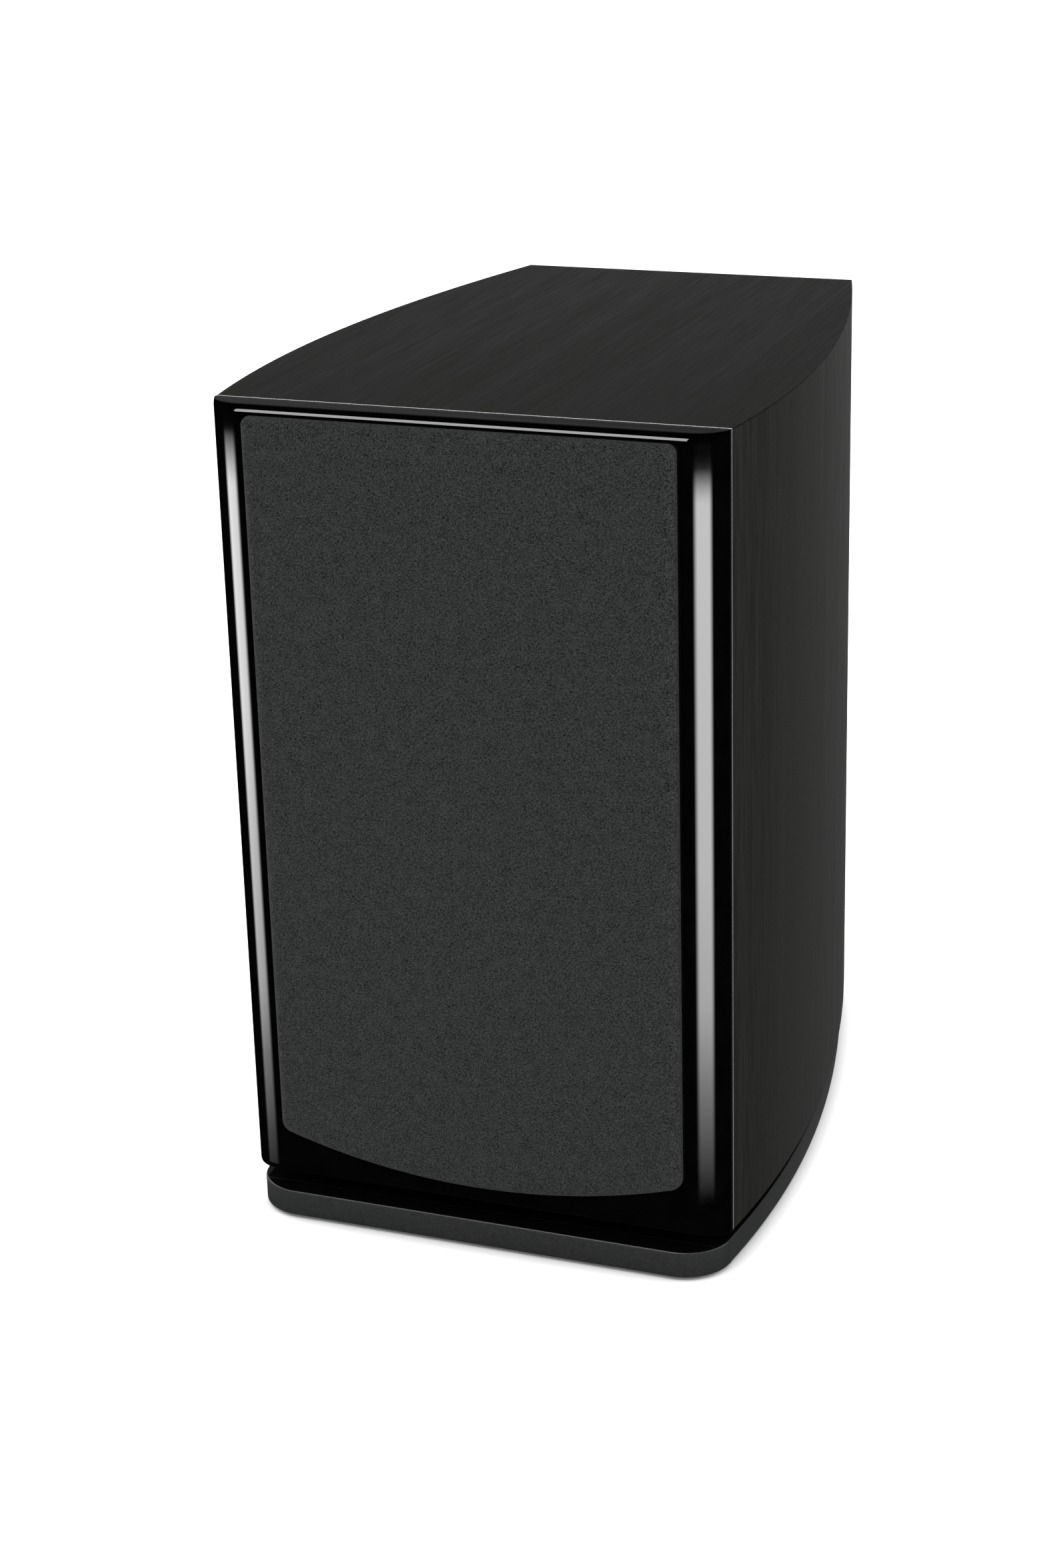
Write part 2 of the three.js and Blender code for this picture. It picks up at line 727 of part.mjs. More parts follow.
function addTerminals() {
  const plateBack = DEPTH + TERMINAL_PLATE;
  const boardFront = DEPTH - PANEL_INSET - BACK_WALL - BOARD_STAND_OFF;
  const studFront = boardFront - BOARD - 3;
  const plateShape = roundedRectangle(
    -TERMINAL_HALF_WIDTH,
    TERMINAL_Z - TERMINAL_HALF_HEIGHT,
    TERMINAL_HALF_WIDTH,
    TERMINAL_Z + TERMINAL_HALF_HEIGHT,
    6,
  );
  const neck = turned(ring(0, TERMINAL_NECK, DEPTH - PANEL_INSET - BACK_WALL, DEPTH + 1))
    .translate(0, 0, TERMINAL_Z);
  const clearance = POST_RADIUS + RUNNING;
  const studHoles = postPlaces().map(([, x]) =>
    turned(ring(0, clearance, studFront - 1, plateBack + 1), SMALL).translate(x, 0, TERMINAL_Z),
  );
  const plate = join(runBack(plateShape, DEPTH, plateBack, 3), neck);
  part("terminal_plate", cut(plate, studHoles), plasticBlack());

  const board = box(
    -BOARD_HALF,
    BOARD_HALF,
    boardFront - BOARD,
    boardFront,
    TERMINAL_Z - BOARD_HALF_HEIGHT,
    TERMINAL_Z + BOARD_HALF_HEIGHT,
  );
  part("crossover_board", cut(board, studHoles), finish(0x1f5a34, 0.5));

  for (const [name, x, color] of postPlaces()) {
    const post = unit(x, plateBack, TERMINAL_Z);
    const collarBack = COLLAR + RUNNING;
    const stud = [
      [0, studFront - plateBack],
      [POST_RADIUS, studFront - plateBack],
      [POST_RADIUS, RUNNING],
      [KNOB_RADIUS - 0.6, RUNNING],
      [KNOB_RADIUS - 0.6, collarBack],
      [POST_RADIUS, collarBack],
      [POST_RADIUS, POST_REACH - TERMINAL_PLATE],
      [0, POST_REACH - TERMINAL_PLATE],
    ];
    part(`terminal_stud_${name}`, turned(stud, SMALL), brass(), post);
    const washerFront = collarBack + RUNNING;
    const washerBack = washerFront + WASHER;
    const washer = turned(ring(POST_RADIUS + RUNNING, KNOB_RADIUS - 0.8, washerFront, washerBack));
    part(`terminal_washer_${name}`, washer, brass(), post);
    const knobFront = washerBack + RUNNING;
    const knob = runBack(knobOutline(), knobFront, knobFront + KNOB_LENGTH, 4);
    part(`terminal_knob_${name}`, knob, finish(color, 0.35), post);
  }
  return boardFront - BOARD;
}

// ---- Crossover parts and leads ----

function addCrossover(boardFace) {
  const seat = boardFace - RUNNING;
  const coil = (x, z, inner, outer, tall) =>
    turned(ring(inner, outer, seat - tall, seat)).translate(x, 0, z);
  const can = (x, z, radius, length) =>
    new THREE.CylinderGeometry(radius, radius, length, COARSE)
      .rotateZ(Math.PI / 2)
      .translate(x, seat - radius, z);
  part("inductor_low_pass", coil(-27, 117, 8, 18, 15), copper());
  part("inductor_high_pass", coil(-30, 79, 5, 12.5, 11), copper());
  part("capacitor_low_pass", can(27, 121, 10, 34), finish(0x23406e, 0.35));
  part("capacitor_high_pass", can(28, 86, 7.5, 30), finish(0xb8a13a, 0.35));
}

// A wire pair as one round tube through its route's points.
function lead(route, steps) {
  const path = new THREE.CatmullRomCurve3(route.map(([x, y, z]) => new THREE.Vector3(x, y, z)));
  const section = new THREE.Shape();
  section.absarc(0, 0, LEAD_RADIUS, 0, 2 * Math.PI);
  return new THREE.ExtrudeGeometry(section, { steps, curveSegments: 4, extrudePath: path });
}

function addLeads() {
  const toWoofer = [
    [-40, 244, 70],
    [-62, 222, 52],
    [-68, 150, 46],
    [-62, 80, 48],
    [-50, 38, 58],
    [-44.5, 18, 69.5],
  ];
  const toTweeter = [
    [38, 244, 130],
    [48, 210, 160],
    [46, 170, 196],
    [40, 110, 228],
    [28, 57, 248],
    [20, 15.5, 252],
  ];
  part("lead_woofer", lead(toWoofer, 22), finish(0x6d1f1f, 0.6));
  part("lead_tweeter", lead(toTweeter, 22), finish(0x6d1f1f, 0.6));
}

addCabinet();
addBaffle();
addGrille();
addWoofer();
addTweeter();
addPort();
addPlinth();
addCrossover(addTerminals());
addLeads();

const frontmost = -BAFFLE - GRILLE_STAND_OFF - GRILLE_FRAME - CLOTH;
const backmost = DEPTH + POST_REACH;
speaker.position.set(0, -(frontmost + backmost) / 2, SLOT + PLINTH + FOOT);

export default speaker;
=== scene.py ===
"""Looks for a two-way stand-mount loudspeaker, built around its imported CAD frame.

Shapes are worked out in cabinet millimetres, where y = 0 is the plane between baffle and cabinet
and z = 0 is the cabinet's underside, and add_piece() puts them in the frame's metres. The front
faces -Y, +X is to the right seen from the front, and +Z is up.
"""
import math

import bmesh
import bpy
import numpy as np
from mathutils import Matrix, Vector


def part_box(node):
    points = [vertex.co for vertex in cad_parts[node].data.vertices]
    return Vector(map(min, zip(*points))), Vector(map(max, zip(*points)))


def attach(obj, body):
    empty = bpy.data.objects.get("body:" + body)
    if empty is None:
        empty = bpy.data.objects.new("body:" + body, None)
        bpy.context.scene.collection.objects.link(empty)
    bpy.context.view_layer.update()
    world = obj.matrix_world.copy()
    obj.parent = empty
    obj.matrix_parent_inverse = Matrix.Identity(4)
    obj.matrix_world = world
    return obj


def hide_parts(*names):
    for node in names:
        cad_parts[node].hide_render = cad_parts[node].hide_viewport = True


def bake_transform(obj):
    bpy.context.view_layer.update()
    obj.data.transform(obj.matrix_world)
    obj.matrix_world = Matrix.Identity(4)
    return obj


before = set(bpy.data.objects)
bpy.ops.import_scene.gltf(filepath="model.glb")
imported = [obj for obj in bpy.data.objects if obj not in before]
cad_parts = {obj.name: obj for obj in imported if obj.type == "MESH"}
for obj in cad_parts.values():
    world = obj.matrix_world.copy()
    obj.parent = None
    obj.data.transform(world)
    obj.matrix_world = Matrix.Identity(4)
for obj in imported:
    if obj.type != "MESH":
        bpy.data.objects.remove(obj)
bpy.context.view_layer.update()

# ---- Sizes, in cabinet millimetres ----

MM = 0.001
ORIGIN = Vector((0.0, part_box("baffle")[1].y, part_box("baffle")[0].z))


def extent(node):
    """A CAD node's lowest and highest corners in cabinet millimetres."""
    low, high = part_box(node)
    return (low - ORIGIN) / MM, (high - ORIGIN) / MM


def middle(node):
    low, high = extent(node)
    return (low + high) / 2


HEIGHT = extent("baffle")[1].z
FRONT_HALF = extent("baffle")[1].x
BAFFLE = -extent("baffle")[0].y
BULGE_HALF = extent("veneer_right")[1].x
BULGE_Y = 69.0
DEPTH = extent("veneer_back")[1].y
GLUE_GAP = 0.3
VENEER = 0.7
BACK_HALF = extent("veneer_back")[1].x + VENEER + GLUE_GAP
GASKET = extent("baffle_gasket")[1].y

BAFFLE_SIDE_ROUND = 14.0
BAFFLE_END_ROUND = 3.2

GRILLE_HALF = extent("grille_cloth")[1].x
GRILLE_TOP = extent("grille_cloth")[1].z
GRILLE_FOOT = extent("grille_cloth")[0].z
GRILLE_FOOT_RISE = 14.0
GRILLE_TOP_ROUND = 3.5
GRILLE_FOOT_ROUND = 6.0
CLOTH_FRONT = extent("grille_cloth")[0].y
CLOTH_EDGE_ROUND = 4.8
CLOTH_TURN_IN = 9.0
GRILLE_BACK = extent("grille_frame")[1].y
PEG_RADIUS = 3.5
PEG_LENGTH = 9.0

WOOFER_Z = middle("woofer_cone").z
WOOFER_RADIUS = extent("woofer_basket")[1].x
WOOFER_FLANGE = 5.0
WOOFER_HOLE = 71.0
MAGNET_SEAT = 42.0
CONE_EDGE = extent("woofer_cone")[1].x
CONE_NECK = 16.0
CONE_TOP = 3.0
CONE_DEPTH = 25.0
COIL_RADIUS = extent("woofer_voice_coil")[1].x
TWEETER_Z = middle("tweeter_dome").z
TWEETER_RADIUS = extent("tweeter_faceplate")[1].x
TWEETER_PLATE = 4.0
TWEETER_HOLE = 40.0
DOME_RADIUS = extent("tweeter_dome")[1].x
RUNNING = 0.3

PORT_Y = middle("port_tube").y
PORT_FLANGE = extent("port_tube")[1].x
PORT_LENGTH = extent("port_tube")[1].z
PORT_BORE = 24.0
PORT_WALL = 2.5
PORT_FLARE = 10.0

PLINTH_LOW = extent("plinth")[0].z
PLINTH_TOP = extent("plinth")[1].z
PLINTH_FRONT = -extent("plinth")[0].y
PLINTH_INSET = 1.8
PLINTH_ROUND = 20.0
SUPPORT_RADIUS = 9.0

TERMINAL_Z = middle("terminal_plate").z
TERMINAL_BACK = extent("terminal_plate")[1].y


# ---- Mesh tools: a shape is a list of points and a list of faces ----


def ring_faces(rows, columns, wrap_rows=False, wrap_columns=True):
    """Quads between successive rows of points."""
    faces = []
    for i in range(rows if wrap_rows else rows - 1):
        k = (i + 1) % rows
        for j in range(columns if wrap_columns else columns - 1):
            m = (j + 1) % columns
            faces.append((i * columns + j, i * columns + m, k * columns + m, k * columns + j))
    return faces


def capped(rings, count):
    """The faces of a closed tube of rings, each of count points, with a face over each end."""
    last = (rings - 1) * count
    caps = [tuple(reversed(range(count))), tuple(range(last, last + count))]
    return ring_faces(rings, count) + caps


def turned(section, segments=96, centre=(0.0, 0.0), upright=False):
    """A closed section of (radius, height) points, turned about an axis along Y, or Z if upright."""
    points = []
    for i in range(segments):
        angle = 2 * math.pi * i / segments
        for radius, height in section:
            u = centre[0] + radius * math.cos(angle)
            v = centre[1] + radius * math.sin(angle)
            points.append((u, v, height) if upright else (u, height, v))
    return points, ring_faces(segments, len(section), wrap_rows=True)


def rim(radius, steps):
    """A quarter circle as (inset, distance from the face) pairs, from the face to the side."""
    angles = [math.pi / 2 * k / steps for k in range(steps + 1)]
    return [(radius * (1 - math.sin(a)), radius * (1 - math.cos(a))) for a in angles]


def slab(outline_at, low, high, ease_low=0.0, ease_high=0.0, steps=4):
    """A solid over an outline, between two heights, with rounded rims. Points are (u, v, height)."""
    rings = [(inset, low + rise) for inset, rise in rim(ease_low, steps)[:-1] if ease_low]
    rings += [(0.0, low + ease_low), (0.0, high - ease_high)]
    if ease_high:
        angles = [math.pi / 2 * k / steps for k in range(1, steps + 1)]
        rings += [
            (ease_high * (1 - math.cos(a)), high - ease_high * (1 - math.sin(a))) for a in angles
        ]
    points = [(u, v, height) for inset, height in rings for u, v in outline_at(inset)]
    return points, capped(len(rings), len(points) // len(rings))


def facing_front(shape):
    """Lays a slab of (x, z, depth) points into (x, y, z), with its height running back along +Y."""
    points, faces = shape
    return [(u, height, v) for u, v, height in points], faces


def moved(shape, x=0.0, y=0.0, z=0.0):
    points, faces = shape
    return [(px + x, py + y, pz + z) for px, py, pz in points], faces


def spun(shape, angle):
    """The shape turned by an angle about the Y axis through the origin."""
    c, s = math.cos(angle), math.sin(angle)
    points, faces = shape
    return [(x * c + z * s, y, z * c - x * s) for x, y, z in points], faces


def facing_back(shape):
    """The shape turned half a turn about Z, so that it faces the other way."""
    points, faces = shape
    return [(-x, -y, z) for x, y, z in points], faces


def merged(shapes):
    points, faces = [], []
    for some_points, some_faces in shapes:
        start = len(points)
        points += some_points
        faces += [tuple(i + start for i in face) for face in some_faces]
    return points, faces


def eased(section, radius=0.4, steps=3):
    """A closed section with its corners rounded, except on the axis and where nearly straight."""
    result = []
    for i, corner in enumerate(section):
        middle_point = np.array(corner)
        p = np.array(section[i - 1]) - middle_point
        q = np.array(section[(i + 1) % len(section)]) - middle_point
        length_p, length_q = np.linalg.norm(p), np.linalg.norm(q)
        inside = math.pi
        if corner[0] >= 1e-6 and min(length_p, length_q) >= 1e-6:
            inside = math.acos(max(-1.0, min(1.0, float(p @ q) / (length_p * length_q))))
        if inside > math.radians(150):
            result.append(tuple(corner))
            continue
        reach = min(radius / math.tan(inside / 2), 0.45 * length_p, 0.45 * length_q)
        start = middle_point + p / length_p * reach
        end = middle_point + q / length_q * reach
        for k in range(steps + 1):
            s = k / steps
            point = (1 - s) ** 2 * start + 2 * s * (1 - s) * middle_point + s * s * end
            result.append((float(point[0]), float(point[1])))
    return result


def ring(inner, outer, low, high):
    return [(inner, low), (outer, low), (outer, high), (inner, high)]


def thickened(curve, thickness):
    """A curve of (radius, height) points made into a closed section."""
    return list(curve) + [(r, h + thickness) for r, h in reversed(curve)]


def arc(cx, cy, radius, start, end, steps=10):
    """Points along an arc, with its angles in degrees."""
    angles = [math.radians(start + (end - start) * i / steps) for i in range(steps + 1)]
    return [(cx + radius * math.cos(a), cy + radius * math.sin(a)) for a in angles]


def rounded_rectangle(left, low, right, high, radius, steps=8):
    """An outline function for slab(): inset shrinks the rectangle and its corners."""
    corners = [(right, low, -90), (right, high, 0), (left, high, 90), (left, low, 180)]

    def outline_at(inset):
        points = []
        for x, y, start in corners:
            cx = x + (radius if x == left else -radius)
            cy = y + (radius if y == low else -radius)
            points += arc(cx, cy, radius - inset, start, start + 90, steps)
        return points

    return outline_at


def smooth_path(route, steps):
    """Evenly numbered points on a Catmull-Rom curve through the route."""
    knots = [Vector(p) for p in route]
    knots = [2 * knots[0] - knots[1]] + knots + [2 * knots[-1] - knots[-2]]
    path = []
    for i in range(steps + 1):
        t = i / steps * (len(knots) - 3)
        k = min(int(t), len(knots) - 4)
        s = t - k
        a, b, c, d = knots[k : k + 4]
        bend = (2 * a - 5 * b + 4 * c - d) * s**2 + (3 * b - a - 3 * c + d) * s**3
        path.append(0.5 * (2 * b + (c - a) * s + bend))
    return path


def frames_along(path, side):
    """Each point of a path with two directions square to it, turning as little as they can."""
    for i, point in enumerate(path):
        along = (path[min(i + 1, len(path) - 1)] - path[max(i - 1, 0)]).normalized()
        side = (side - along * side.dot(along)).normalized()
        yield point, side, along.cross(side)


def tube(route, radius, sides=10, steps=60):
    """A round wire along a smooth curve through the route's points, with closed ends."""
    path = smooth_path(route, steps)
    along_x = abs((path[1] - path[0]).normalized().x) >= 0.9
    points = []
    for point, side, up in frames_along(path, Vector((0, 1, 0) if along_x else (1, 0, 0))):
        for k in range(sides):
            angle = 2 * math.pi * k / sides
            points.append(tuple(point + (side * math.cos(angle) + up * math.sin(angle)) * radius))
    return points, capped(steps + 1, sides)


def mesh_of(name, shape):
    """A mesh in metres from a shape in cabinet millimetres, with its normals facing out."""
    points, faces = shape
    mesh = bpy.data.meshes.new(name)
    work = bmesh.new()
    vertices = [work.verts.new(ORIGIN + Vector(p) * MM) for p in points]
    for face in faces:
        work.faces.new([vertices[i] for i in face])
    bmesh.ops.remove_doubles(work, verts=work.verts, dist=2e-6)
    loose = [edge for edge in work.edges if not edge.link_faces]
    bmesh.ops.delete(work, geom=loose, context="EDGES")
    bmesh.ops.recalc_face_normals(work, faces=work.faces)
    work.to_mesh(mesh)
    work.free()
    return mesh


def link(name, data):
    item = bpy.data.objects.new(name, data)
    bpy.context.scene.collection.objects.link(item)
    return item


def apply_modifiers(item):
    bpy.context.view_layer.update()
    graph = bpy.context.evaluated_depsgraph_get()
    mesh = bpy.data.meshes.new_from_object(item.evaluated_get(graph))
    item.modifiers.clear()
    item.data = mesh


def smooth(item, crease):
    item.data.shade_smooth()
    item.data.set_sharp_from_angle(angle=math.radians(crease))


def add_piece(name, shape, finish, node=None, body="cabinet", cuts=(), crease=35, slot=None):
    """A piece that rides on a body, in place of a CAD node, with holes cut through it.

    Its slot holds its finish's material; the slot argument is not used.
    """
    item = link(name, mesh_of(name, shape))
    if cuts:
        tool = link(name + "_cutter", mesh_of(name + "_cutter", merged(cuts)))
        modifier = item.modifiers.new("cut", "BOOLEAN")
        modifier.operation = "DIFFERENCE"
        modifier.solver = "EXACT"
        modifier.object = tool
        apply_modifiers(item)
        bpy.data.objects.remove(tool)
    smooth(item, crease)
    item.data.materials.clear()
    item.data.materials.append(FINISH[finish])
    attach(item, body)
    if node:
        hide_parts(node)
    return item


def dress_cad(nodes, finish):
    """Gives CAD nodes their material."""
    for node in nodes:
        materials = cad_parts[node].data.materials
        materials.clear()
        materials.append(FINISH[finish])


# ---- Material tools ----


class Nodes:
    """A node tree under construction."""

    def __init__(self, owner):
        owner.use_nodes = True
        self.tree = owner.node_tree

    def node(self, kind, inputs=(), **settings):
        made = self.tree.nodes.new(kind)
        for key, value in settings.items():
            setattr(made, key, value)
        for key, value in dict(inputs).items():
            if isinstance(value, bpy.types.NodeSocket):
                self.tree.links.new(value, made.inputs[key])
            else:
                made.inputs[key].default_value = value
        return made

    def math(self, operation, a, b=0.0):
        return self.node("ShaderNodeMath", {0: a, 1: b}, operation=operation).outputs[0]

    def between(self, factor, low, high, start=0.3, end=0.7, kind="LINEAR"):
        """A value that runs from low to high as the factor runs from start to end."""
        inputs = {"Value": factor, "From Min": start, "From Max": end, "To Min": low, "To Max": high}
        return self.node("ShaderNodeMapRange", inputs, interpolation_type=kind).outputs[0]

    def ramp(self, factor, *stops, kind="LINEAR"):
        """A colour ramp; each stop is a place from 0 to 1 and a colour, or a number for a grey."""
        ramp = self.node("ShaderNodeValToRGB", {0: factor})
        ramp.color_ramp.interpolation = kind
        elements = ramp.color_ramp.elements
        while len(elements) < len(stops):
            elements.new(0.5)
        for element, (place, color) in zip(elements, stops):
            element.position = place
            element.color = (*color, 1.0) if isinstance(color, tuple) else (color,) * 3 + (1.0,)
        return ramp.outputs["Color"]

    def mix(self, factor, a, b, colors=False):
        first = 6 if colors else 2
        inputs = {0: factor, first: a, first + 1: b}
        made = self.node("ShaderNodeMix", inputs, data_type="RGBA" if colors else "FLOAT")
        return made.outputs[2 if colors else 0]

    def split(self, vector, axis):
        return self.node("ShaderNodeSeparateXYZ", {0: vector}).outputs[axis]

    def geometry(self, output):
        return self.node("ShaderNodeNewGeometry").outputs[output]


class Finish(Nodes):
    """A procedural surface material, on the surface's own real scale."""

    def __init__(self, name, roughness, metallic=0.0, **constants):
        self.material = bpy.data.materials.new(name)
        super().__init__(self.material)
        self.shader = self.tree.nodes["Principled BSDF"]
        self.set("Roughness", roughness)
        self.set("Metallic", metallic)
        for socket, value in constants.items():
            self.set(socket.replace("_", " "), value)
        self.position = self.node("ShaderNodeTexCoord").outputs["Object"]

    def set(self, socket, value):
        if isinstance(value, bpy.types.NodeSocket):
            self.tree.links.new(value, self.shader.inputs[socket])
        else:
            self.shader.inputs[socket].default_value = value

    def color(self, factor, *stops):
        self.set("Base Color", self.ramp(factor, *stops))

    def roughness(self, factor, low, high, start=0.3, end=0.7):
        self.set("Roughness", self.between(factor, low, high, start, end))

    def bump(self, height, distance_mm, strength=1.0):
        inputs = {"Height": height, "Distance": distance_mm * MM, "Strength": strength}
        self.set("Normal", self.node("ShaderNodeBump", inputs).outputs["Normal"])

    def noise(self, size_mm, detail=2.0, roughness=0.5, stretch=None, distortion=0.0):
        """A noise with features about size_mm across, or 1/x, 1/y, 1/z m with a stretch (x, y, z)."""
        vector = self.position
        scale = 1.0
        if stretch:
            vector = self.node(
                "ShaderNodeVectorMath", {0: self.position, 1: stretch}, operation="MULTIPLY"
            ).outputs[0]
        else:
            scale = 1000.0 / size_mm
        inputs = {"Vector": vector, "Scale": scale, "Detail": detail, "Roughness": roughness}
        inputs["Distortion"] = distortion
        return self.node("ShaderNodeTexNoise", inputs).outputs[0]

    def blend(self, a, b, share):
        """Two factors added up, with the first one's share of the whole."""
        first = self.math("MULTIPLY", a, share)
        return self.math("ADD", first, self.math("MULTIPLY", b, round(1 - share, 3)))


def scaled(color, factor):
    return tuple(min(1.0, c * factor) for c in color)


# ---- Materials ----

PLAIN = (1.0, 1.0, 1.0)


def make_lacquer(name):
    """Polished black lacquer: a very slight long ripple and a few faint polishing marks."""
    f = Finish(name, 0.035)
    haze = f.noise(9.0, detail=4.0)
    f.roughness(haze, 0.02, 0.045)
    f.color(haze, (0.3, 0.0004), (0.7, 0.0009))
    f.bump(f.noise(14.0, detail=1.0), 0.004)
    return f


def make_veneer(name, grain):
    """Black-stained wood veneer, with its fibres along the axis numbered by grain."""
    f = Finish(name, 0.42, Specular_IOR_Level=0.5)
    fine = tuple(28.0 if axis == grain else 1500.0 for axis in range(3))
    broad = tuple(3.0 if axis == grain else 95.0 for axis in range(3))
    fibres = f.noise(0, detail=3.0, roughness=0.6, stretch=fine)
    figure = f.noise(0, detail=3.0, roughness=0.55, stretch=broad, distortion=0.6)
    tone = f.blend(fibres, figure, 0.7)
    f.color(tone, (0.40, (0.0008, 0.0008, 0.0006)), (0.62, (0.0088, 0.0085, 0.0064)))
    f.roughness(tone, 0.34, 0.52, 0.36, 0.64)
    f.bump(fibres, 0.05, 0.7)
    return f


def make_cloth(name):
    """Speaker cloth: dull yarns crossing at about 0.8 mm, uneven in thickness and tone."""
    f = Finish(name, 0.92, Specular_IOR_Level=0.2, Sheen_Weight=0.03, Sheen_Roughness=0.5)
    warp = f.noise(0, detail=2.0, roughness=0.6, stretch=(2300.0, 1500.0, 1000.0))
    weft = f.noise(0, detail=2.0, roughness=0.6, stretch=(1000.0, 1500.0, 2300.0))
    yarns = f.math("MAXIMUM", warp, weft)
    tone = f.blend(yarns, f.noise(5.0, detail=3.0), 0.9)
    f.color(tone, (0.42, (0.0015, 0.0018, 0.0017)), (0.74, (0.046, 0.0493, 0.0480)))
    f.bump(yarns, 0.15, 0.7)
    return f


def make_moulded(name, color, roughness, grain_mm=0.5, depth_mm=0.02):
    """Moulded plastic with a fine spark-eroded grain and slight gloss variation."""
    f = Finish(name, roughness)
    cloud = f.noise(18.0, detail=3.0)
    f.color(cloud, (0.3, scaled(color, 0.82)), (0.7, scaled(color, 1.2)))
    f.roughness(cloud, roughness * 0.88, roughness * 1.12)
    f.bump(f.noise(grain_mm, detail=2.0), depth_mm, 0.6)
    return f


def make_rubber(name, color, roughness=0.62):
    """Rubber or a wire's jacket, dulled in places by dust."""
    f = Finish(name, roughness)
    dust = f.noise(3.5, detail=5.0, roughness=0.65)
    f.color(dust, (0.35, color), (0.75, scaled(color, 1.9)))
    f.roughness(dust, roughness * 0.85, roughness * 1.15)
    f.bump(f.noise(0.35, detail=2.0), 0.012, 0.5)
    return f


def make_metal(name, color, roughness, brushed=PLAIN, metallic=1.0):
    """Metal with fine marks; brushed stretches them along the axis with the smallest number."""
    f = Finish(name, roughness, metallic)
    marks = f.noise(0, detail=3.0, stretch=tuple(1600.0 * b for b in brushed))
    f.color(f.noise(11.0, detail=4.0), (0.3, scaled(color, 0.86)), (0.7, color))
    f.roughness(marks, roughness * 0.75, roughness * 1.3)
    f.bump(marks, 0.004, 0.5)
    return f


def make_cast(name, color, roughness=0.5):
    """A powder coat over a casting: a fine pebbled skin."""
    f = Finish(name, roughness)
    pebble = f.node("ShaderNodeTexVoronoi", {"Vector": f.position, "Scale": 1400.0}).outputs[0]
    cloud = f.noise(12.0, detail=4.0)
    f.color(cloud, (0.3, scaled(color, 0.8)), (0.7, scaled(color, 1.25)))
    f.roughness(cloud, roughness * 0.9, roughness * 1.15)
    f.bump(pebble, 0.02, 0.5)
    return f


def make_fibreboard(name):
    """Raw fibreboard, painted black on the cabinet's underside."""
    f = Finish(name, 0.85)
    fibre = f.noise(0.9, detail=5.0, roughness=0.7)
    tone = f.blend(fibre, f.noise(30.0, detail=3.0), 0.7)
    raw = f.ramp(tone, (0.35, (0.25, 0.165, 0.095)), (0.65, (0.46, 0.33, 0.20)))
    paint = f.ramp(tone, (0.35, 0.007), (0.65, 0.013))
    facing_down = f.math("LESS_THAN", f.split(f.geometry("Normal"), "Z"), -0.3)
    lowest = f.math("LESS_THAN", f.split(f.position, "Z"), ORIGIN.z + 4 * MM)
    painted = f.math("MULTIPLY", facing_down, lowest)
    f.set("Base Color", f.mix(painted, raw, paint, colors=True))
    f.bump(fibre, 0.05, 0.6)
    return f


def make_plinth(name):
    """Gloss black on the plinth's top and fine satin paint round its edge."""
    f = Finish(name, 0.3)
    upright = f.math("ABSOLUTE", f.split(f.geometry("Normal"), "Z"))
    satin = f.between(upright, 1.0, 0.0, 0.75, 0.97)
    speck = f.noise(0.45, detail=3.0, roughness=0.65)
    edge = f.ramp(speck, (0.35, (0.006, 0.0066, 0.0066)), (0.7, (0.025, 0.027, 0.0265)))
    gloss = f.ramp(speck, (0.3, 0.0012), (0.7, 0.002))
    f.set("Base Color", f.mix(satin, gloss, edge, colors=True))
    f.roughness(satin, 0.06, 0.46, 0.0, 1.0)
    f.bump(speck, 0.012, 0.4)
    return f


def make_cone(name):
    """A mineral-filled cone: fine specks."""
    f = Finish(name, 0.42)
    speck = f.noise(0.6, detail=4.0, roughness=0.7)
    f.color(speck, (0.35, (0.009, 0.009, 0.010)), (0.72, (0.030, 0.030, 0.032)))
    f.roughness(speck, 0.34, 0.5)
    f.bump(speck, 0.03, 0.6)
    return f


def make_woven(name, dark, light, pitch_mm, roughness, depth_mm=0.1, sheen=0.1):
    """A small plain weave of two crossing noises."""
    f = Finish(name, roughness, Sheen_Weight=sheen)
    fine = 1000.0 / pitch_mm
    a = f.noise(0, detail=1.0, stretch=(fine, fine, fine * 0.3))
    b = f.noise(0, detail=1.0, stretch=(fine * 0.3, fine, fine))
    yarns = f.math("MAXIMUM", a, b)
    f.color(yarns, (0.42, dark), (0.7, light))
    f.bump(yarns, depth_mm, 0.7)
    return f


def make_winding(name, color):
    """Enamelled wire, with a slight change of tone from turn to turn."""
    f = Finish(name, 0.3, 0.85)
    turns = f.noise(0, detail=2.0, stretch=(60.0, 1800.0, 60.0))
    f.color(turns, (0.35, scaled(color, 0.6)), (0.65, color))
    f.roughness(turns, 0.22, 0.4)
    f.bump(turns, 0.05, 0.5)
    return f


def make_board(name):
    """Green resist over the weave of a glass laminate."""
    f = Finish(name, 0.35)
    weave = f.noise(0, detail=1.0, stretch=(900.0, 900.0, 260.0))
    tone = f.blend(weave, f.noise(14.0, detail=3.0), 0.5)
    f.color(tone, (0.35, (0.010, 0.070, 0.026)), (0.65, (0.024, 0.125, 0.050)))
    f.bump(weave, 0.02, 0.5)
    return f


def make_foam_strip(name):
    """The thin pale strip that seals the joint behind the baffle."""
    f = Finish(name, 0.55)
    cells = f.noise(0.5, detail=3.0)
    f.color(cells, (0.35, (0.15, 0.15, 0.155)), (0.65, (0.27, 0.27, 0.275)))
    f.bump(cells, 0.03, 0.5)
    return f


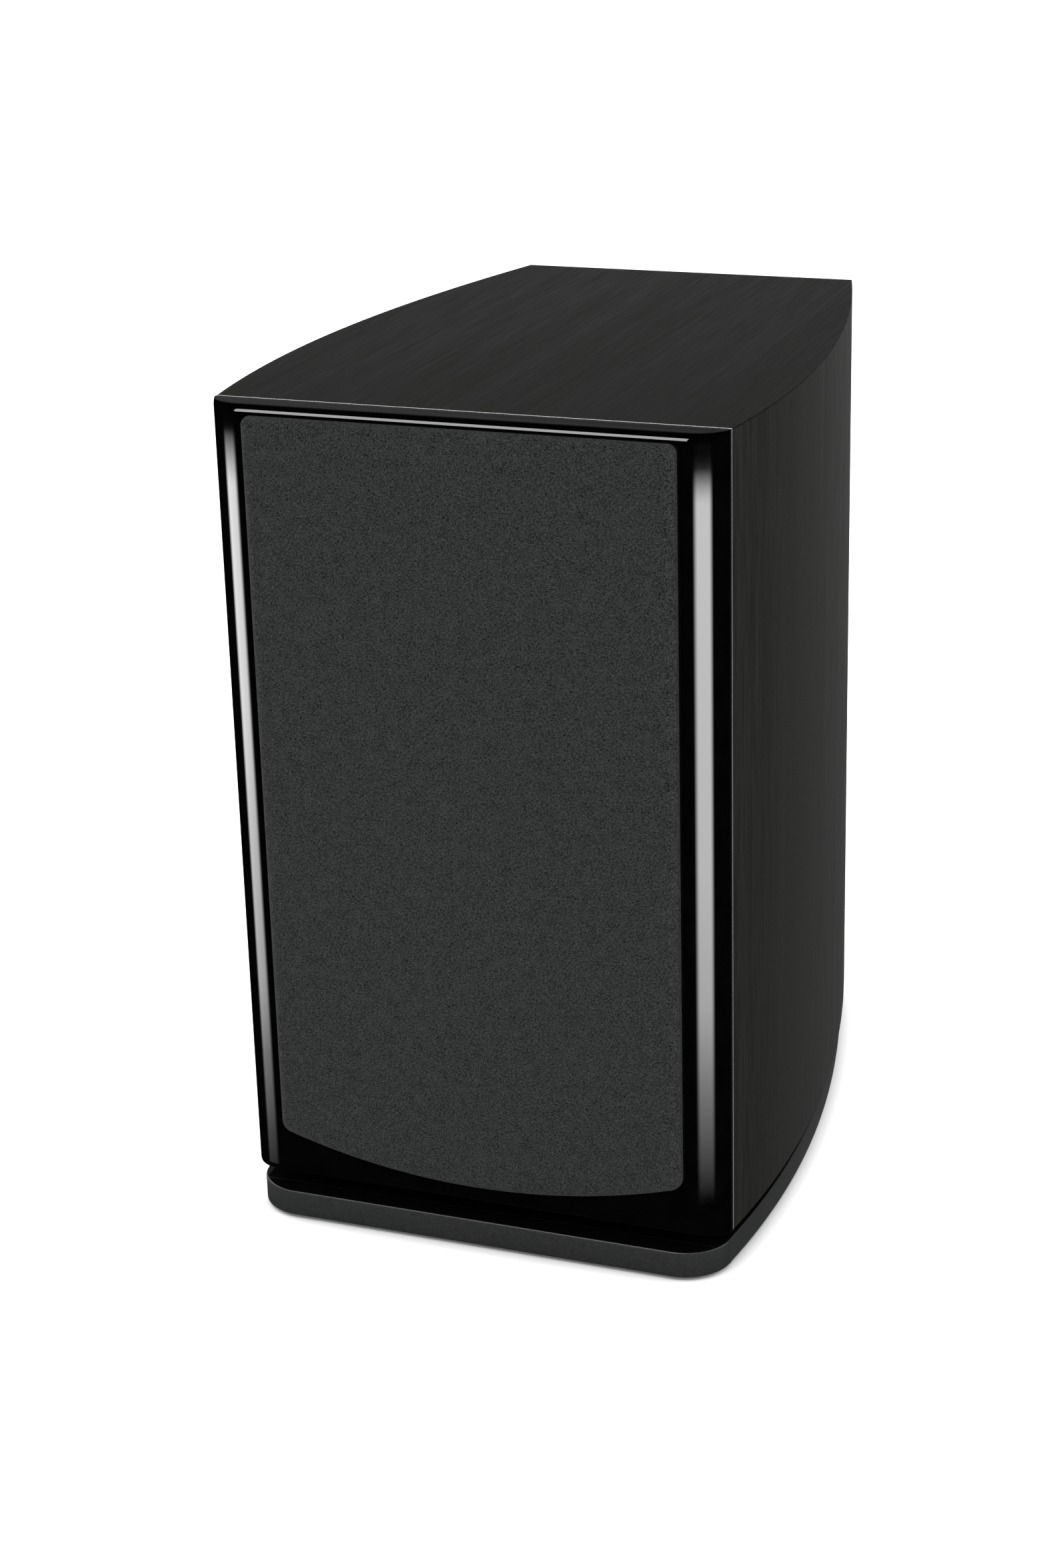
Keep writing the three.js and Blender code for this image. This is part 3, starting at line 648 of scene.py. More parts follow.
def make_wadding(name):
    """Loose polyester fibre, white and matted."""
    f = Finish(name, 0.95, Sheen_Weight=0.4)
    fibre = f.noise(1.1, detail=6.0, roughness=0.75, distortion=1.5)
    f.color(fibre, (0.3, (0.52, 0.50, 0.45)), (0.7, (0.84, 0.82, 0.77)))
    f.bump(fibre, 1.2, 0.9)
    return f


GOLDEN_BROWN = (0.22, 0.11, 0.03), (0.55, 0.33, 0.11)
CHARCOAL = (0.012, 0.012, 0.014), (0.06, 0.06, 0.065)

# Each material's maker, and what it takes after the name.
RECIPES = {
    "black_lacquer": (make_lacquer,),
    "stained_veneer_upright": (make_veneer, 2),
    "stained_veneer_top": (make_veneer, 1),
    "grille_cloth": (make_cloth,),
    "black_plastic": (make_moulded, (0.014, 0.014, 0.0145), 0.42),
    "black_rubber": (make_rubber, (0.010, 0.010, 0.010)),
    "cast_basket": (make_cast, (0.020, 0.020, 0.021)),
    "cone_polymer": (make_cone,),
    "spider_cloth": (make_woven, *GOLDEN_BROWN, 0.7, 0.6),
    "plated_steel": (make_metal, (0.55, 0.56, 0.58), 0.32),
    "black_screw": (make_metal, (0.05, 0.05, 0.052), 0.35),
    "ferrite": (make_cast, (0.035, 0.033, 0.033), 0.6),
    "copper_winding": (make_winding, (0.78, 0.33, 0.14)),
    "faceplate_metal": (make_metal, (0.028, 0.028, 0.030), 0.36, PLAIN, 0.6),
    "dome_cloth": (make_woven, *CHARCOAL, 0.35, 0.5, 0.04, 0.3),
    "dark_spacer": (make_cast, (0.008, 0.008, 0.008), 0.45),
    "gilt_brass": (make_metal, (0.95, 0.66, 0.24), 0.2, (0.15, 1.0, 0.15)),
    "red_plastic": (make_moulded, (0.36, 0.012, 0.010), 0.3, 0.8, 0.01),
    "knob_black": (make_moulded, (0.010, 0.010, 0.010), 0.28, 0.8, 0.01),
    "circuit_board": (make_board,),
    "film_blue": (make_moulded, (0.02, 0.075, 0.24), 0.28, 1.5, 0.01),
    "film_yellow": (make_moulded, (0.62, 0.44, 0.06), 0.32, 1.5, 0.01),
    "white_ceramic": (make_cast, (0.62, 0.60, 0.55), 0.7),
    "lead_jacket_red": (make_rubber, (0.30, 0.014, 0.012), 0.45),
    "lead_jacket_black": (make_rubber, (0.012, 0.012, 0.012), 0.45),
    "gasket_foam": (make_foam_strip,),
    "fibreboard": (make_fibreboard,),
    "plinth_paint": (make_plinth,),
    "wadding": (make_wadding,),
}
FINISH = {name: make(name, *values).material for name, (make, *values) in RECIPES.items()}


# ---- Camera, light and floor ----

TARGET = ORIGIN + Vector((18.8, 0.0, 183.4)) * MM
CAMERA_AZIMUTH = math.radians(21.31)
CAMERA_ELEVATION = math.radians(20.67)
CAMERA_ROLL = math.radians(-1.62)
CAMERA_DISTANCE = 1.1943
LENS_MM = 69.7

WORLD_DIFFUSE = 1.05
# Dim reflections behind the speaker: azimuth, elevation, reach in degrees, strength.
GLOSS_GLOWS = ((188.0, 20.0, 48.0, 0.14), (186.0, -24.0, 44.0, 0.15))
FLOOR_HALF = 9.0
STRIP_DISTANCE = 1.5


def add_camera():
    az, el = CAMERA_AZIMUTH, CAMERA_ELEVATION
    back = Vector((math.sin(az) * math.cos(el), -math.cos(az) * math.cos(el), math.sin(el)))
    right = Vector((math.cos(az), math.sin(az), 0.0))
    up = back.cross(right)
    c, s = math.cos(CAMERA_ROLL), math.sin(CAMERA_ROLL)
    turn = Matrix((right * c + up * s, up * c - right * s, back)).transposed().to_4x4()
    data = bpy.data.cameras.new("camera")
    data.lens = LENS_MM
    data.sensor_width = 36.0
    camera = link("camera", data)
    camera.matrix_world = Matrix.Translation(TARGET + back * CAMERA_DISTANCE) @ turn
    bpy.context.scene.camera = camera


def direction(azimuth, elevation):
    """A unit vector; azimuth 0 looks out of the speaker's front and grows towards +X."""
    a, e = math.radians(azimuth), math.radians(elevation)
    return Vector((math.sin(a) * math.cos(e), -math.cos(a) * math.cos(e), math.sin(e)))


def light_only(light, pieces, state="INCLUDE"):
    """Lights the given pieces and nothing else, or with EXCLUDE everything else."""
    receivers = bpy.data.collections.new(f"{light.name}_receivers")
    for piece in pieces:
        receivers.objects.link(bpy.data.objects[piece])
    for member in receivers.collection_objects:
        member.light_linking.link_state = state
    light.light_linking.receiver_collection = receivers


def add_light(name, place, size, power, only=(), but=(), diffuse=True, gloss=True):
    """An area light at an azimuth, an elevation and a distance, for some pieces or all but some."""
    azimuth, elevation, distance = place
    data = bpy.data.lights.new(name, "AREA")
    data.shape = "RECTANGLE"
    data.size, data.size_y = size
    data.energy = power
    light = link(name, data)
    out = direction(azimuth, elevation)
    turn = out.to_track_quat("Z", "Y").to_matrix().to_4x4()
    light.matrix_world = Matrix.Translation(TARGET + out * distance) @ turn
    light.visible_diffuse = diffuse
    light.visible_glossy = gloss
    if only or but:
        light_only(light, only or but, "INCLUDE" if only else "EXCLUDE")


def add_strip(name, edge_x, azimuths, fade, stops):
    """A tall curved reflector, seen only in gloss, that draws a highlight down the baffle's edge.

    It stands round the edge at edge_x, between two azimuths, and fades over a few degrees at its
    sides. Each stop is a height in cabinet millimetres and the brightness there.
    """
    low, high = stops[0][0], stops[-1][0]
    start, end = azimuths
    columns = 40
    shares = [i / columns for i in range(columns + 1)]
    points = []
    for height in (low, high):
        for i in range(columns + 1):
            out = direction(start + (end - start) * i / columns, 0) * STRIP_DISTANCE / MM
            points.append(ORIGIN + Vector((edge_x + out.x, out.y, height)) * MM)
    mesh = bpy.data.meshes.new(name)
    mesh.from_pydata(points, [], ring_faces(2, columns + 1, wrap_columns=False))
    mesh.attributes.new("across", "FLOAT", "POINT").data.foreach_set("value", shares * 2)
    strip = link(name, mesh)

    material = bpy.data.materials.new(name)
    n = Nodes(material)
    n.tree.nodes.clear()
    across = n.node("ShaderNodeAttribute", attribute_name="across").outputs["Fac"]
    soft = fade / (end - start)
    width = n.ramp(across, (0.0, 0.0), (soft, 1.0), (1 - soft, 1.0), (1.0, 0.0), kind="EASE")
    bottom, top = ORIGIN.z + low * MM, ORIGIN.z + high * MM
    place = n.between(n.split(n.geometry("Position"), "Z"), 0.0, 1.0, bottom, top)
    brightest = max(value for _, value in stops)
    heights = [((height - low) / (high - low), value / brightest) for height, value in stops]
    shape = n.math("MULTIPLY", width, n.ramp(place, *heights))
    emission = n.node("ShaderNodeEmission", {"Strength": n.math("MULTIPLY", shape, brightest)})
    n.node("ShaderNodeOutputMaterial", {"Surface": emission.outputs[0]})
    mesh.materials.append(material)

    strip.visible_camera = strip.visible_diffuse = False
    strip.visible_shadow = strip.visible_transmission = False
    light_only(strip, ["baffle_front"])


def add_floor():
    """A wide white floor that glows; ambient occlusion dims the glow into a painted contact shadow round
    whatever stands on it.
    """
    mesh = bpy.data.meshes.new("floor")
    signs = ((-1, -1), (1, -1), (1, 1), (-1, 1))
    mesh.from_pydata([(FLOOR_HALF * x, FLOOR_HALF * y, 0) for x, y in signs], [], [(0, 1, 2, 3)])
    floor = link("floor", mesh)
    f = Finish("floor_paper", 0.9, Specular_IOR_Level=0.0, Emission_Color=(1.0, 1.0, 1.0, 1.0))
    f.color(f.noise(60.0, detail=2.0), (0.3, 0.90), (0.7, 0.92))
    # Painted contact shadow: the floor's glow fades wherever ambient occlusion finds something close
    # above it.
    painted_contact_shadow_ao = f.node("ShaderNodeAmbientOcclusion", {"Distance": 0.012}, samples=8)
    f.set("Emission Strength", f.between(painted_contact_shadow_ao.outputs["AO"], 0.0, 0.5, 0.55, 0.95))
    mesh.materials.append(f.material)
    floor.visible_glossy = floor.visible_shadow = False


def add_world():
    """White for the camera, soft grey for diffuse light, and dark for gloss except behind."""
    world = bpy.data.worlds.new("studio")
    bpy.context.scene.world = world
    n = Nodes(world)
    n.tree.nodes.clear()
    ray = n.node("ShaderNodeLightPath").outputs
    towards = n.node("ShaderNodeTexCoord").outputs["Generated"]
    glows = []
    for azimuth, elevation, reach, strength in GLOSS_GLOWS:
        inputs = {0: towards, 1: direction(azimuth, elevation)}
        facing = n.node("ShaderNodeVectorMath", inputs, operation="DOT_PRODUCT").outputs["Value"]
        rim_value, core = (math.cos(math.radians(angle)) for angle in (reach, reach / 4))
        glows.append(n.between(facing, 0.0, strength, rim_value, core, "SMOOTHSTEP"))
    lit = n.mix(ray["Is Glossy Ray"], WORLD_DIFFUSE, n.math("ADD", *glows))
    strength = n.mix(ray["Is Camera Ray"], lit, 1.0)
    inputs = {"Color": (1.0, 1.0, 1.0, 1.0), "Strength": strength}
    background = n.node("ShaderNodeBackground", inputs)
    n.node("ShaderNodeOutputWorld", {"Surface": background.outputs[0]})


def add_lights():
    """Soft light for all, and the lights that each draw one surface's highlights."""
    veneers = [f"veneer_leaf_{side}" for side in ("left", "right", "top")]
    baffle = ["baffle_front"]
    cloth = ["grille_cloth_sheet"]
    add_light("key", (-20, 60, 1.6), (1.0, 0.6), 6, gloss=False)
    for side in (-1, 1):
        place = (102 * side, 24, 1.6)
        add_light(f"side_{side}", place, (1.2, 1.2), 9, but=baffle + ["veneer_leaf_top"])
    add_light("edge_band", (-22, 25, 1.5), (0.6, 0.8), 14, only=baffle, diffuse=False)
    # Heights mirrored in the edges from the lowest lit point up to the highest.
    left = [(-800, 0.0), (-742, 1.0), (-660, 3.0), (-579, 7.0), (-431, 10.0), (-300, 13.5),
            (-95, 15.0), (-45, 0.0)]
    right = [(-790, 0.0), (-726, 2.2), (-675, 4.2), (-590, 9.0), (-450, 11.5), (-105, 13.5),
             (-75, 0.0)]
    add_strip("strip_left", -95.0, (-74.0, -30.0), 12.0, left)
    add_strip("strip_right", 95.0, (-1.0, 60.0), 15.0, right)
    plinth = ["plinth_plate"]
    add_light("bevel", (-20, 60, 1.6), (1.0, 0.6), 40, only=plinth, diffuse=False)
    for azimuth in (-100, -50, 0, 50, 100):
        place = (azimuth, 4, 1.3)
        add_light(f"card_{azimuth}", place, (1.15, 1.6), 1.8, only=veneers + plinth, diffuse=False)
    back = ["veneer_leaf_back"]
    add_light("card_back", (185, -8, 1.3), (1.8, 1.4), 3.4, only=back, diffuse=False)
    add_light("rear", (190, 38, 1.8), (1.2, 0.8), 10, but=baffle + ["veneer_leaf_top"] + cloth)
    outside = veneers + back + plinth + baffle + cloth
    add_light("drivers", (-25, 35, 1.4), (0.9, 0.7), 60, but=outside + ["floor"])


# ---- Cabinet ----


def half_width(y):
    """Half the cabinet's width at depth y."""
    rise = BULGE_HALF - FRONT_HALF
    back_u = DEPTH / BULGE_Y
    bend = ((BULGE_HALF - BACK_HALF) / (rise * (1 - back_u) ** 2) - 1) / back_u
    u = y / BULGE_Y
    return BULGE_HALF - rise * (1 - u) ** 2 * (1 + bend * u)


def side_line(inset, front, back, steps=72):
    """Points down the right side of the cabinet at a distance inside its skin."""
    depths = [front + (back - front) * i / steps for i in range(steps + 1)]
    return [(half_width(y) - inset, y) for y in depths]


def top_plan(inset):
    """The veneered top's outline: inset draws in the sides and back and leaves the front."""
    right = side_line(inset, GASKET, DEPTH - inset)
    return right + [(-x, y) for x, y in reversed(right)]


def side_leaf(side):
    """A curved leaf of veneer, its back corner eased."""
    corner = 0.5
    skin = side_line(0.0, GASKET, DEPTH - corner)
    x, y = skin[-1]
    skin += [(x - 0.15 * corner, y + 0.7 * corner), (x - 0.6 * corner, DEPTH)]
    inside = [(px - VENEER, py) for px, py in side_line(0.0, GASKET, DEPTH)]
    plan = [(side * px, py) for px, py in skin + inside[::-1]]
    return slab(lambda inset: plan, 0.0, HEIGHT - VENEER)


def add_veneer():
    upright = "stained_veneer_upright"
    slot = "stained_veneer"
    for name, side in (("left", -1), ("right", 1)):
        add_piece(f"veneer_leaf_{name}", side_leaf(side), upright, f"veneer_{name}", slot=slot)
    top = slab(top_plan, HEIGHT - VENEER, HEIGHT, ease_high=0.45)
    add_piece("veneer_leaf_top", top, "stained_veneer_top", "veneer_top", slot=slot)
    half = BACK_HALF - VENEER
    plan = [(-half, DEPTH - VENEER), (half, DEPTH - VENEER), (half, DEPTH), (-half, DEPTH)]
    back = slab(lambda inset: plan, 0.0, HEIGHT - VENEER)
    neck = turned(ring(0.0, 17.0, DEPTH - 3, DEPTH + 2), 64, (0.0, TERMINAL_Z))
    add_piece("veneer_leaf_back", back, upright, "veneer_back", cuts=[neck], slot=slot)


def dress_carcass():
    panels = ["side_panel_left", "side_panel_right", "top_panel", "bottom_panel", "back_panel"]
    dress_cad(panels + ["window_brace"], "fibreboard")
    dress_cad(["baffle_gasket"], "gasket_foam")


def add_wadding():
    """The loose pad in the upper chamber, puffed up unevenly inside its block."""
    low, high = extent("damping_wadding")
    margin = 4.0
    corners = (low.x + margin, low.y + margin, high.x - margin, high.y - margin)
    shape = slab(rounded_rectangle(*corners, 26.0), low.z + 1, high.z - margin, 22.0, 22.0, 8)
    item = add_piece("wadding_pad", shape, "wadding", "damping_wadding")
    remesh = item.modifiers.new("remesh", "REMESH")
    remesh.mode = "VOXEL"
    remesh.voxel_size = 5 * MM
    tufts = bpy.data.textures.new("wadding_tufts", "CLOUDS")
    tufts.noise_scale = 0.03
    tufts.noise_depth = 3
    puff = item.modifiers.new("puff", "DISPLACE")
    puff.texture = tufts
    puff.texture_coords = "LOCAL"
    puff.strength = 7 * MM
    puff.mid_level = 0.7
    apply_modifiers(item)
    smooth(item, 180)


# ---- Baffle ----


def peg_places():
    """Each grille peg's name and middle."""
    names = ("upper_left", "upper_right", "lower_left", "lower_right")
    return [(name, middle(f"grille_peg_{name}")) for name in names]


def baffle_slab():
    """The front, curved back at both sides along an ellipse and eased at the top and bottom."""
    flat = FRONT_HALF - BAFFLE_SIDE_ROUND
    support = 0.6
    turns = [math.pi / 2 * i / 28 for i in range(29)]
    columns = [(-flat - BAFFLE_SIDE_ROUND * math.cos(t), math.sin(t)) for t in turns]
    columns.append((-flat + support, 1.0))
    columns += [(-x, depth) for x, depth in reversed(columns)]
    r = BAFFLE_END_ROUND
    turns = [math.pi / 2 * i / 8 for i in range(9)]
    rows = [(r * (1 - math.cos(t)), BAFFLE - r * (1 - math.sin(t))) for t in turns]
    rows.append((r + support, BAFFLE))
    rows += [(HEIGHT - z, depth) for z, depth in reversed(rows)]
    points = [(x, -depth * row_depth, z) for z, row_depth in rows for x, depth in columns]
    count = len(columns)
    last = (len(rows) - 1) * count
    left_edge = [i * count for i in range(len(rows))]
    right_edge = [i * count + count - 1 for i in range(len(rows))]
    faces = ring_faces(len(rows), count, wrap_columns=False)
    faces += [tuple(range(count)), tuple(range(last, last + count))]
    return points, faces + [tuple(left_edge + right_edge[::-1])]


def stepped_hole(radius, depth, bore, above):
    """A hole from the baffle's face with an eased mouth, and a narrower bore behind if there is one."""
    lip = 0.35
    front = -BAFFLE
    wide = radius + RUNNING
    seat = front + depth
    section = [
        (0.0, front - above),
        (wide + above + lip, front - above),
        (wide + lip, front),
        (wide, front + lip),
        (wide, seat),
    ]
    if bore:
        return section + [(bore, seat), (bore, 2.0), (0.0, 2.0)]
    return section + [(0.0, seat)]


def add_baffle():
    woofer = stepped_hole(WOOFER_RADIUS, WOOFER_FLANGE + RUNNING, WOOFER_HOLE, 3)
    tweeter = stepped_hole(TWEETER_RADIUS, TWEETER_PLATE + RUNNING, TWEETER_HOLE, 3)
    socket = stepped_hole(PEG_RADIUS, PEG_LENGTH + 1, 0.0, 2)
    cuts = [turned(woofer, 128, (0.0, WOOFER_Z)), turned(tweeter, 112, (0.0, TWEETER_Z))]
    cuts += [turned(socket, 32, (at.x, at.z)) for _, at in peg_places()]
    add_piece("baffle_front", baffle_slab(), "black_lacquer", "baffle", cuts=cuts, crease=30)


# ---- Grille ----


def grille_outline(inset, steps=14):
    """Square shoulders and a foot that sags in one shallow arc."""
    half = GRILLE_HALF - inset
    top = GRILLE_TOP - inset
    foot = GRILLE_FOOT + inset
    radius = (GRILLE_HALF**2 + GRILLE_FOOT_RISE**2) / (2 * GRILLE_FOOT_RISE)
    foot_round = max(GRILLE_FOOT_ROUND - inset, 1.0)
    top_round = max(GRILLE_TOP_ROUND - inset, 1.0)
    spread = math.degrees(math.asin((half - foot_round) / (radius - foot_round)))
    corner_x = half - foot_round
    corner_z = foot + radius - (radius - foot_round) * math.cos(math.radians(spread))
    return (
        arc(0.0, foot + radius, radius, -90 - spread, -90 + spread, 4 * steps)[1:-1]
        + arc(corner_x, corner_z, foot_round, -90 + spread, 0, steps)
        + arc(half - top_round, top - top_round, top_round, 0, 90, steps)
        + arc(-half + top_round, top - top_round, top_round, 90, 180, steps)
        + arc(-corner_x, corner_z, foot_round, 180, 270 - spread, steps)
    )


def add_grille_cloth():
    """One sheet stretched over the frame's rounded front edge and folded in behind it."""
    back = GRILLE_BACK + 0.25
    rings = [(inset, CLOTH_FRONT + rise) for inset, rise in rim(CLOTH_EDGE_ROUND, 8)]
    rings += [(0.0, back - 0.5), (0.15, back - 0.15), (0.5, back), (CLOTH_TURN_IN, back)]
    points = [(x, depth, z) for inset, depth in rings for x, z in grille_outline(inset)]
    count = len(points) // len(rings)
    shape = points, ring_faces(len(rings), count) + [tuple(reversed(range(count)))]
    item = add_piece(
        "grille_cloth_sheet", shape, "grille_cloth", "grille_cloth", "grille", crease=60
    )


def add_grille():
    add_grille_cloth()
    dress_cad(["grille_frame"], "black_plastic")
    tip = GRILLE_BACK + PEG_LENGTH
    section = [(0.0, GRILLE_BACK), (PEG_RADIUS, GRILLE_BACK), (PEG_RADIUS, tip - 1.2)]
    section = eased(section + [(PEG_RADIUS - 0.9, tip), (0.0, tip)])
    for name, at in peg_places():
        peg = turned(section, 40, (at.x, at.z))
        add_piece(f"peg_{name}", peg, "black_plastic", f"grille_peg_{name}", "grille")


# ---- Fasteners ----

SOCKET_DEPTH = 1.5
SHANK_SHARE = 0.5
SINK_GAP = 0.2


def socket_screw(head_radius, across_flats, length):
    """A countersunk screw along +Y from its face at y = 0, with a hexagon socket."""
    segments = 48
    sixth = math.pi / 3
    angles = [2 * math.pi * i / segments for i in range(segments)]
    hexagon = [across_flats / 2 / math.cos((a + sixth / 2) % sixth - sixth / 2) for a in angles]
    shank = head_radius * SHANK_SHARE
    cone = head_radius - shank
    mouth = [h + 0.12 for h in hexagon]
    rings = [([0.0] * segments, SOCKET_DEPTH), (hexagon, SOCKET_DEPTH), (hexagon, 0.15), (mouth, 0.0)]
    outside = [(head_radius - 0.25, 0.0), (head_radius, 0.2), (shank, 0.2 + cone)]
    outside += [(shank, length - shank), (0.0, length)]
    rings += [([radius] * segments, depth) for radius, depth in outside]
    points = [
        (radius * math.cos(angle), depth, radius * math.sin(angle))
        for radii, depth in rings
        for radius, angle in zip(radii, angles)
    ]
    return points, ring_faces(len(rings), segments)


def countersink(head_radius, depth, x=0.0, z=0.0, y=0.0):
    """The hole that a socket_screw's head sits in."""
    shank = head_radius * SHANK_SHARE
    wide, narrow = head_radius + SINK_GAP, shank + SINK_GAP
    neck = y + 0.2 + head_radius - shank
    section = [(0.0, y - 1), (wide, y - 1), (wide, y + 0.2)]
    section += [(narrow, neck), (narrow, y + depth), (0.0, y + depth)]
    return turned(section, 40, (x, z))


def circle_places(count, radius, z, first=90.0):
    """Evenly spaced places round a circle centred on x = 0, from an angle in degrees."""
    return arc(0.0, z, radius, first, first + 360, count)[:-1]


def add_screws(name, places, y, head_radius, across_flats, length, back=False):
    """A set of screws, with their faces at y. Those at the back are driven towards -Y."""
    screw = socket_screw(head_radius, across_flats, length)
    if back:
        screw = facing_back(screw)
    shape = merged([moved(screw, x, y, z) for x, z in places])
    add_piece(name, shape, "black_screw", crease=30, slot="plated_steel")


# ---- Woofer ----

WOOFER_SCREW_CIRCLE = 79.4
WOOFER_SCREWS = circle_places(6, WOOFER_SCREW_CIRCLE, WOOFER_Z)
WOOFER_SCREW_HEAD = 2.7
TWEETER_SCREW_CIRCLE = 44.0
TWEETER_SCREWS = circle_places(4, TWEETER_SCREW_CIRCLE, TWEETER_Z, 45.0)
TWEETER_SCREW_HEAD = 2.3
ROLL_WIDTH = 9.2
SPIDER_EDGE = 43.6
SPIDER_PLEATS = 6
CONE_BODY = "woofer_cone_assembly"
DOME_BODY = "tweeter_dome_assembly"


def driver(section, z, segments=96):
    """A section of (radius, distance behind the baffle's face) turned about a driver's axis."""
    return turned([(r, w - BAFFLE) for r, w in section], segments, (0.0, z))


def basket_section():
    outside = [(WOOFER_RADIUS, 0.0), (WOOFER_RADIUS, WOOFER_FLANGE), (WOOFER_HOLE - 1, WOOFER_FLANGE)]
    outside += [(67.5, 9.0), (48.0, 37.0), (48.0, MAGNET_SEAT), (28.0, MAGNET_SEAT)]
    inside = [(28.0, MAGNET_SEAT - 3), (38.0, MAGNET_SEAT - 3), (38.0, 36.0), (44.0, 36.0)]
    inside += [(44.0, 33.0), (63.0, 6.0), (63.0, 2.6), (76.0, 2.6), (76.0, 0.0)]
    return outside + inside


def basket_windows():
    """Six openings between the basket's legs."""
    opening = slab(rounded_rectangle(-16.0, 11.0, 16.0, 29.0, 5.0, 6), 40.0, 90.0)
    turns = [spun(opening, (i + 0.5) * math.pi / 3) for i in range(6)]
    return [moved(window, 0.0, -BAFFLE, WOOFER_Z) for window in turns]


def cone_face(radius):
    """The cone's distance behind the baffle's face at a radius."""
    s = (CONE_EDGE - radius) / (CONE_EDGE - CONE_NECK)
    return CONE_TOP + CONE_DEPTH * (s + 0.25 * s * (1 - s))


def cone_section():
    radii = [CONE_EDGE + (CONE_NECK - CONE_EDGE) * i / 28 for i in range(29)]
    cone = [(radius, cone_face(radius)) for radius in radii]
    return thickened(cone + [(COIL_RADIUS + RUNNING, CONE_TOP + CONE_DEPTH + 1)], 1.0)


def coil_section(inner, outer, low, high, winding_low, pitch=0.6):
    """A former with its winding: a row of small round turns on the outside."""
    former = inner + 0.25
    section = [(inner, low), (former, low), (former, winding_low)]
    for i in range(int((high - winding_low) / pitch)):
        start = winding_low + i * pitch
        section += [(outer - 0.15, start + 0.05), (outer, start + pitch / 2)]
        section += [(outer - 0.15, start + pitch - 0.05)]
    return section + [(former, high), (inner, high)]


def roll_curve(inner, outer, base, height, steps=16):
    """The half roll of a surround."""
    centre, reach = (inner + outer) / 2, (outer - inner) / 2
    angles = [math.pi * (1 - i / steps) for i in range(steps + 1)]
    return [(centre + reach * math.cos(a), base - height * math.sin(a)) for a in angles]


def bend_with(item):
    """Bakes a ring's placement into its mesh."""
    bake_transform(item)


def add_flexible(name, shape, finish, node, slot=None):
    item = add_piece(name, shape, finish, node, slot=slot)
    item.parent = None
    bend_with(item)


def add_driver_parts(unit, z, segments, *parts):
    """Each part is a name, a section, a finish and, unless it stays with the cabinet, a body."""
    for name, section, finish, *body in parts:
        node = f"{unit}_{name}"
        add_piece(f"{node}_turned", driver(section, z, segments), finish, node, *body)


def add_woofer():
    sinks = [countersink(WOOFER_SCREW_HEAD, 9.0, x, z, -BAFFLE) for x, z in WOOFER_SCREWS]
    basket = driver(eased(basket_section(), 0.5), WOOFER_Z, 128)
    cuts = basket_windows() + sinks
    add_piece("woofer_basket_turned", basket, "cast_basket", "woofer_basket", cuts=cuts)
    trim = eased(ring(67.6, 75.6, -0.3, 1.5), 0.7)
    coil = coil_section(12.2, COIL_RADIUS, 29.5, 52.0, 44.0)
    top_plate = eased(ring(13.8, 46.0, 42.3, 48.3), 0.5)
    magnet = eased(ring(22.0, 48.0, 48.6, 63.6), 0.8)
    add_driver_parts(
        "woofer", WOOFER_Z, 128,
        ("trim_ring", trim, "black_plastic"),
        ("cone", cone_section(), "cone_polymer", CONE_BODY),
        ("voice_coil", coil, "copper_winding", CONE_BODY),
        ("top_plate", top_plate, "plated_steel"),
        ("magnet", magnet, "ferrite"),
    )
    yoke = [(0.0, 42.0), (11.4, 42.0), (11.4, 63.9), (45.0, 63.9), (45.0, 68.6), (42.0, 69.9)]
    yoke = eased(yoke + [(0.0, 69.9)], 0.5)
    add_driver_parts("woofer", WOOFER_Z, 96, ("yoke", yoke, "plated_steel"))
    cap = [(19.0 * i / 14, 19.4 + 5.0 * (i / 14) ** 2) for i in range(15)]
    cap = driver(thickened(cap + [(19.6, cone_face(19.6) - 0.9)], 0.8), WOOFER_Z)
    add_piece("woofer_cap_turned", cap, "cone_polymer", "woofer_dust_cap", CONE_BODY)

    inner = CONE_EDGE + RUNNING
    outer = inner + ROLL_WIDTH
    base = 1.7
    lip = [(r, cone_face(r) - 0.75) for r in (54.6, 55.4, 56.2)]
    roll = lip + [(56.9, 2.0)] + roll_curve(inner, outer, base, 2.4) + [(outer + 7, base)]
    add_flexible(
        "woofer_surround_roll", driver(thickened(roll, 0.7), WOOFER_Z, 128), "black_rubber",
        "woofer_surround",
    )
    inner = COIL_RADIUS + RUNNING
    outer = SPIDER_EDGE
    spider = []
    for i in range(73):
        s = i / 72
        fade = min(1.0, 8 * s, 8 * (1 - s))
        pleat = fade * math.sin(2 * math.pi * SPIDER_PLEATS * s)
        spider.append((inner + (outer - inner) * s, 34.2 + pleat))
    add_flexible(
        "woofer_spider_pleated", driver(thickened(spider, 0.5), WOOFER_Z), "spider_cloth",
        "woofer_spider",
    )
    add_screws("woofer_screws", WOOFER_SCREWS, -BAFFLE, WOOFER_SCREW_HEAD, 2.5, 14.0)


# ---- Tweeter ----


def faceplate_section():
    mouth = 17.6
    edge = 0.4
    horn = [(mouth + 17 * i / 20, 3 * (1 - i / 20) ** 2) for i in range(21)]
    horn += [(TWEETER_RADIUS - edge, 0.0), (TWEETER_RADIUS - 0.1, 0.1), (TWEETER_RADIUS, edge)]
    return horn + [(TWEETER_RADIUS, TWEETER_PLATE), (mouth, TWEETER_PLATE)]


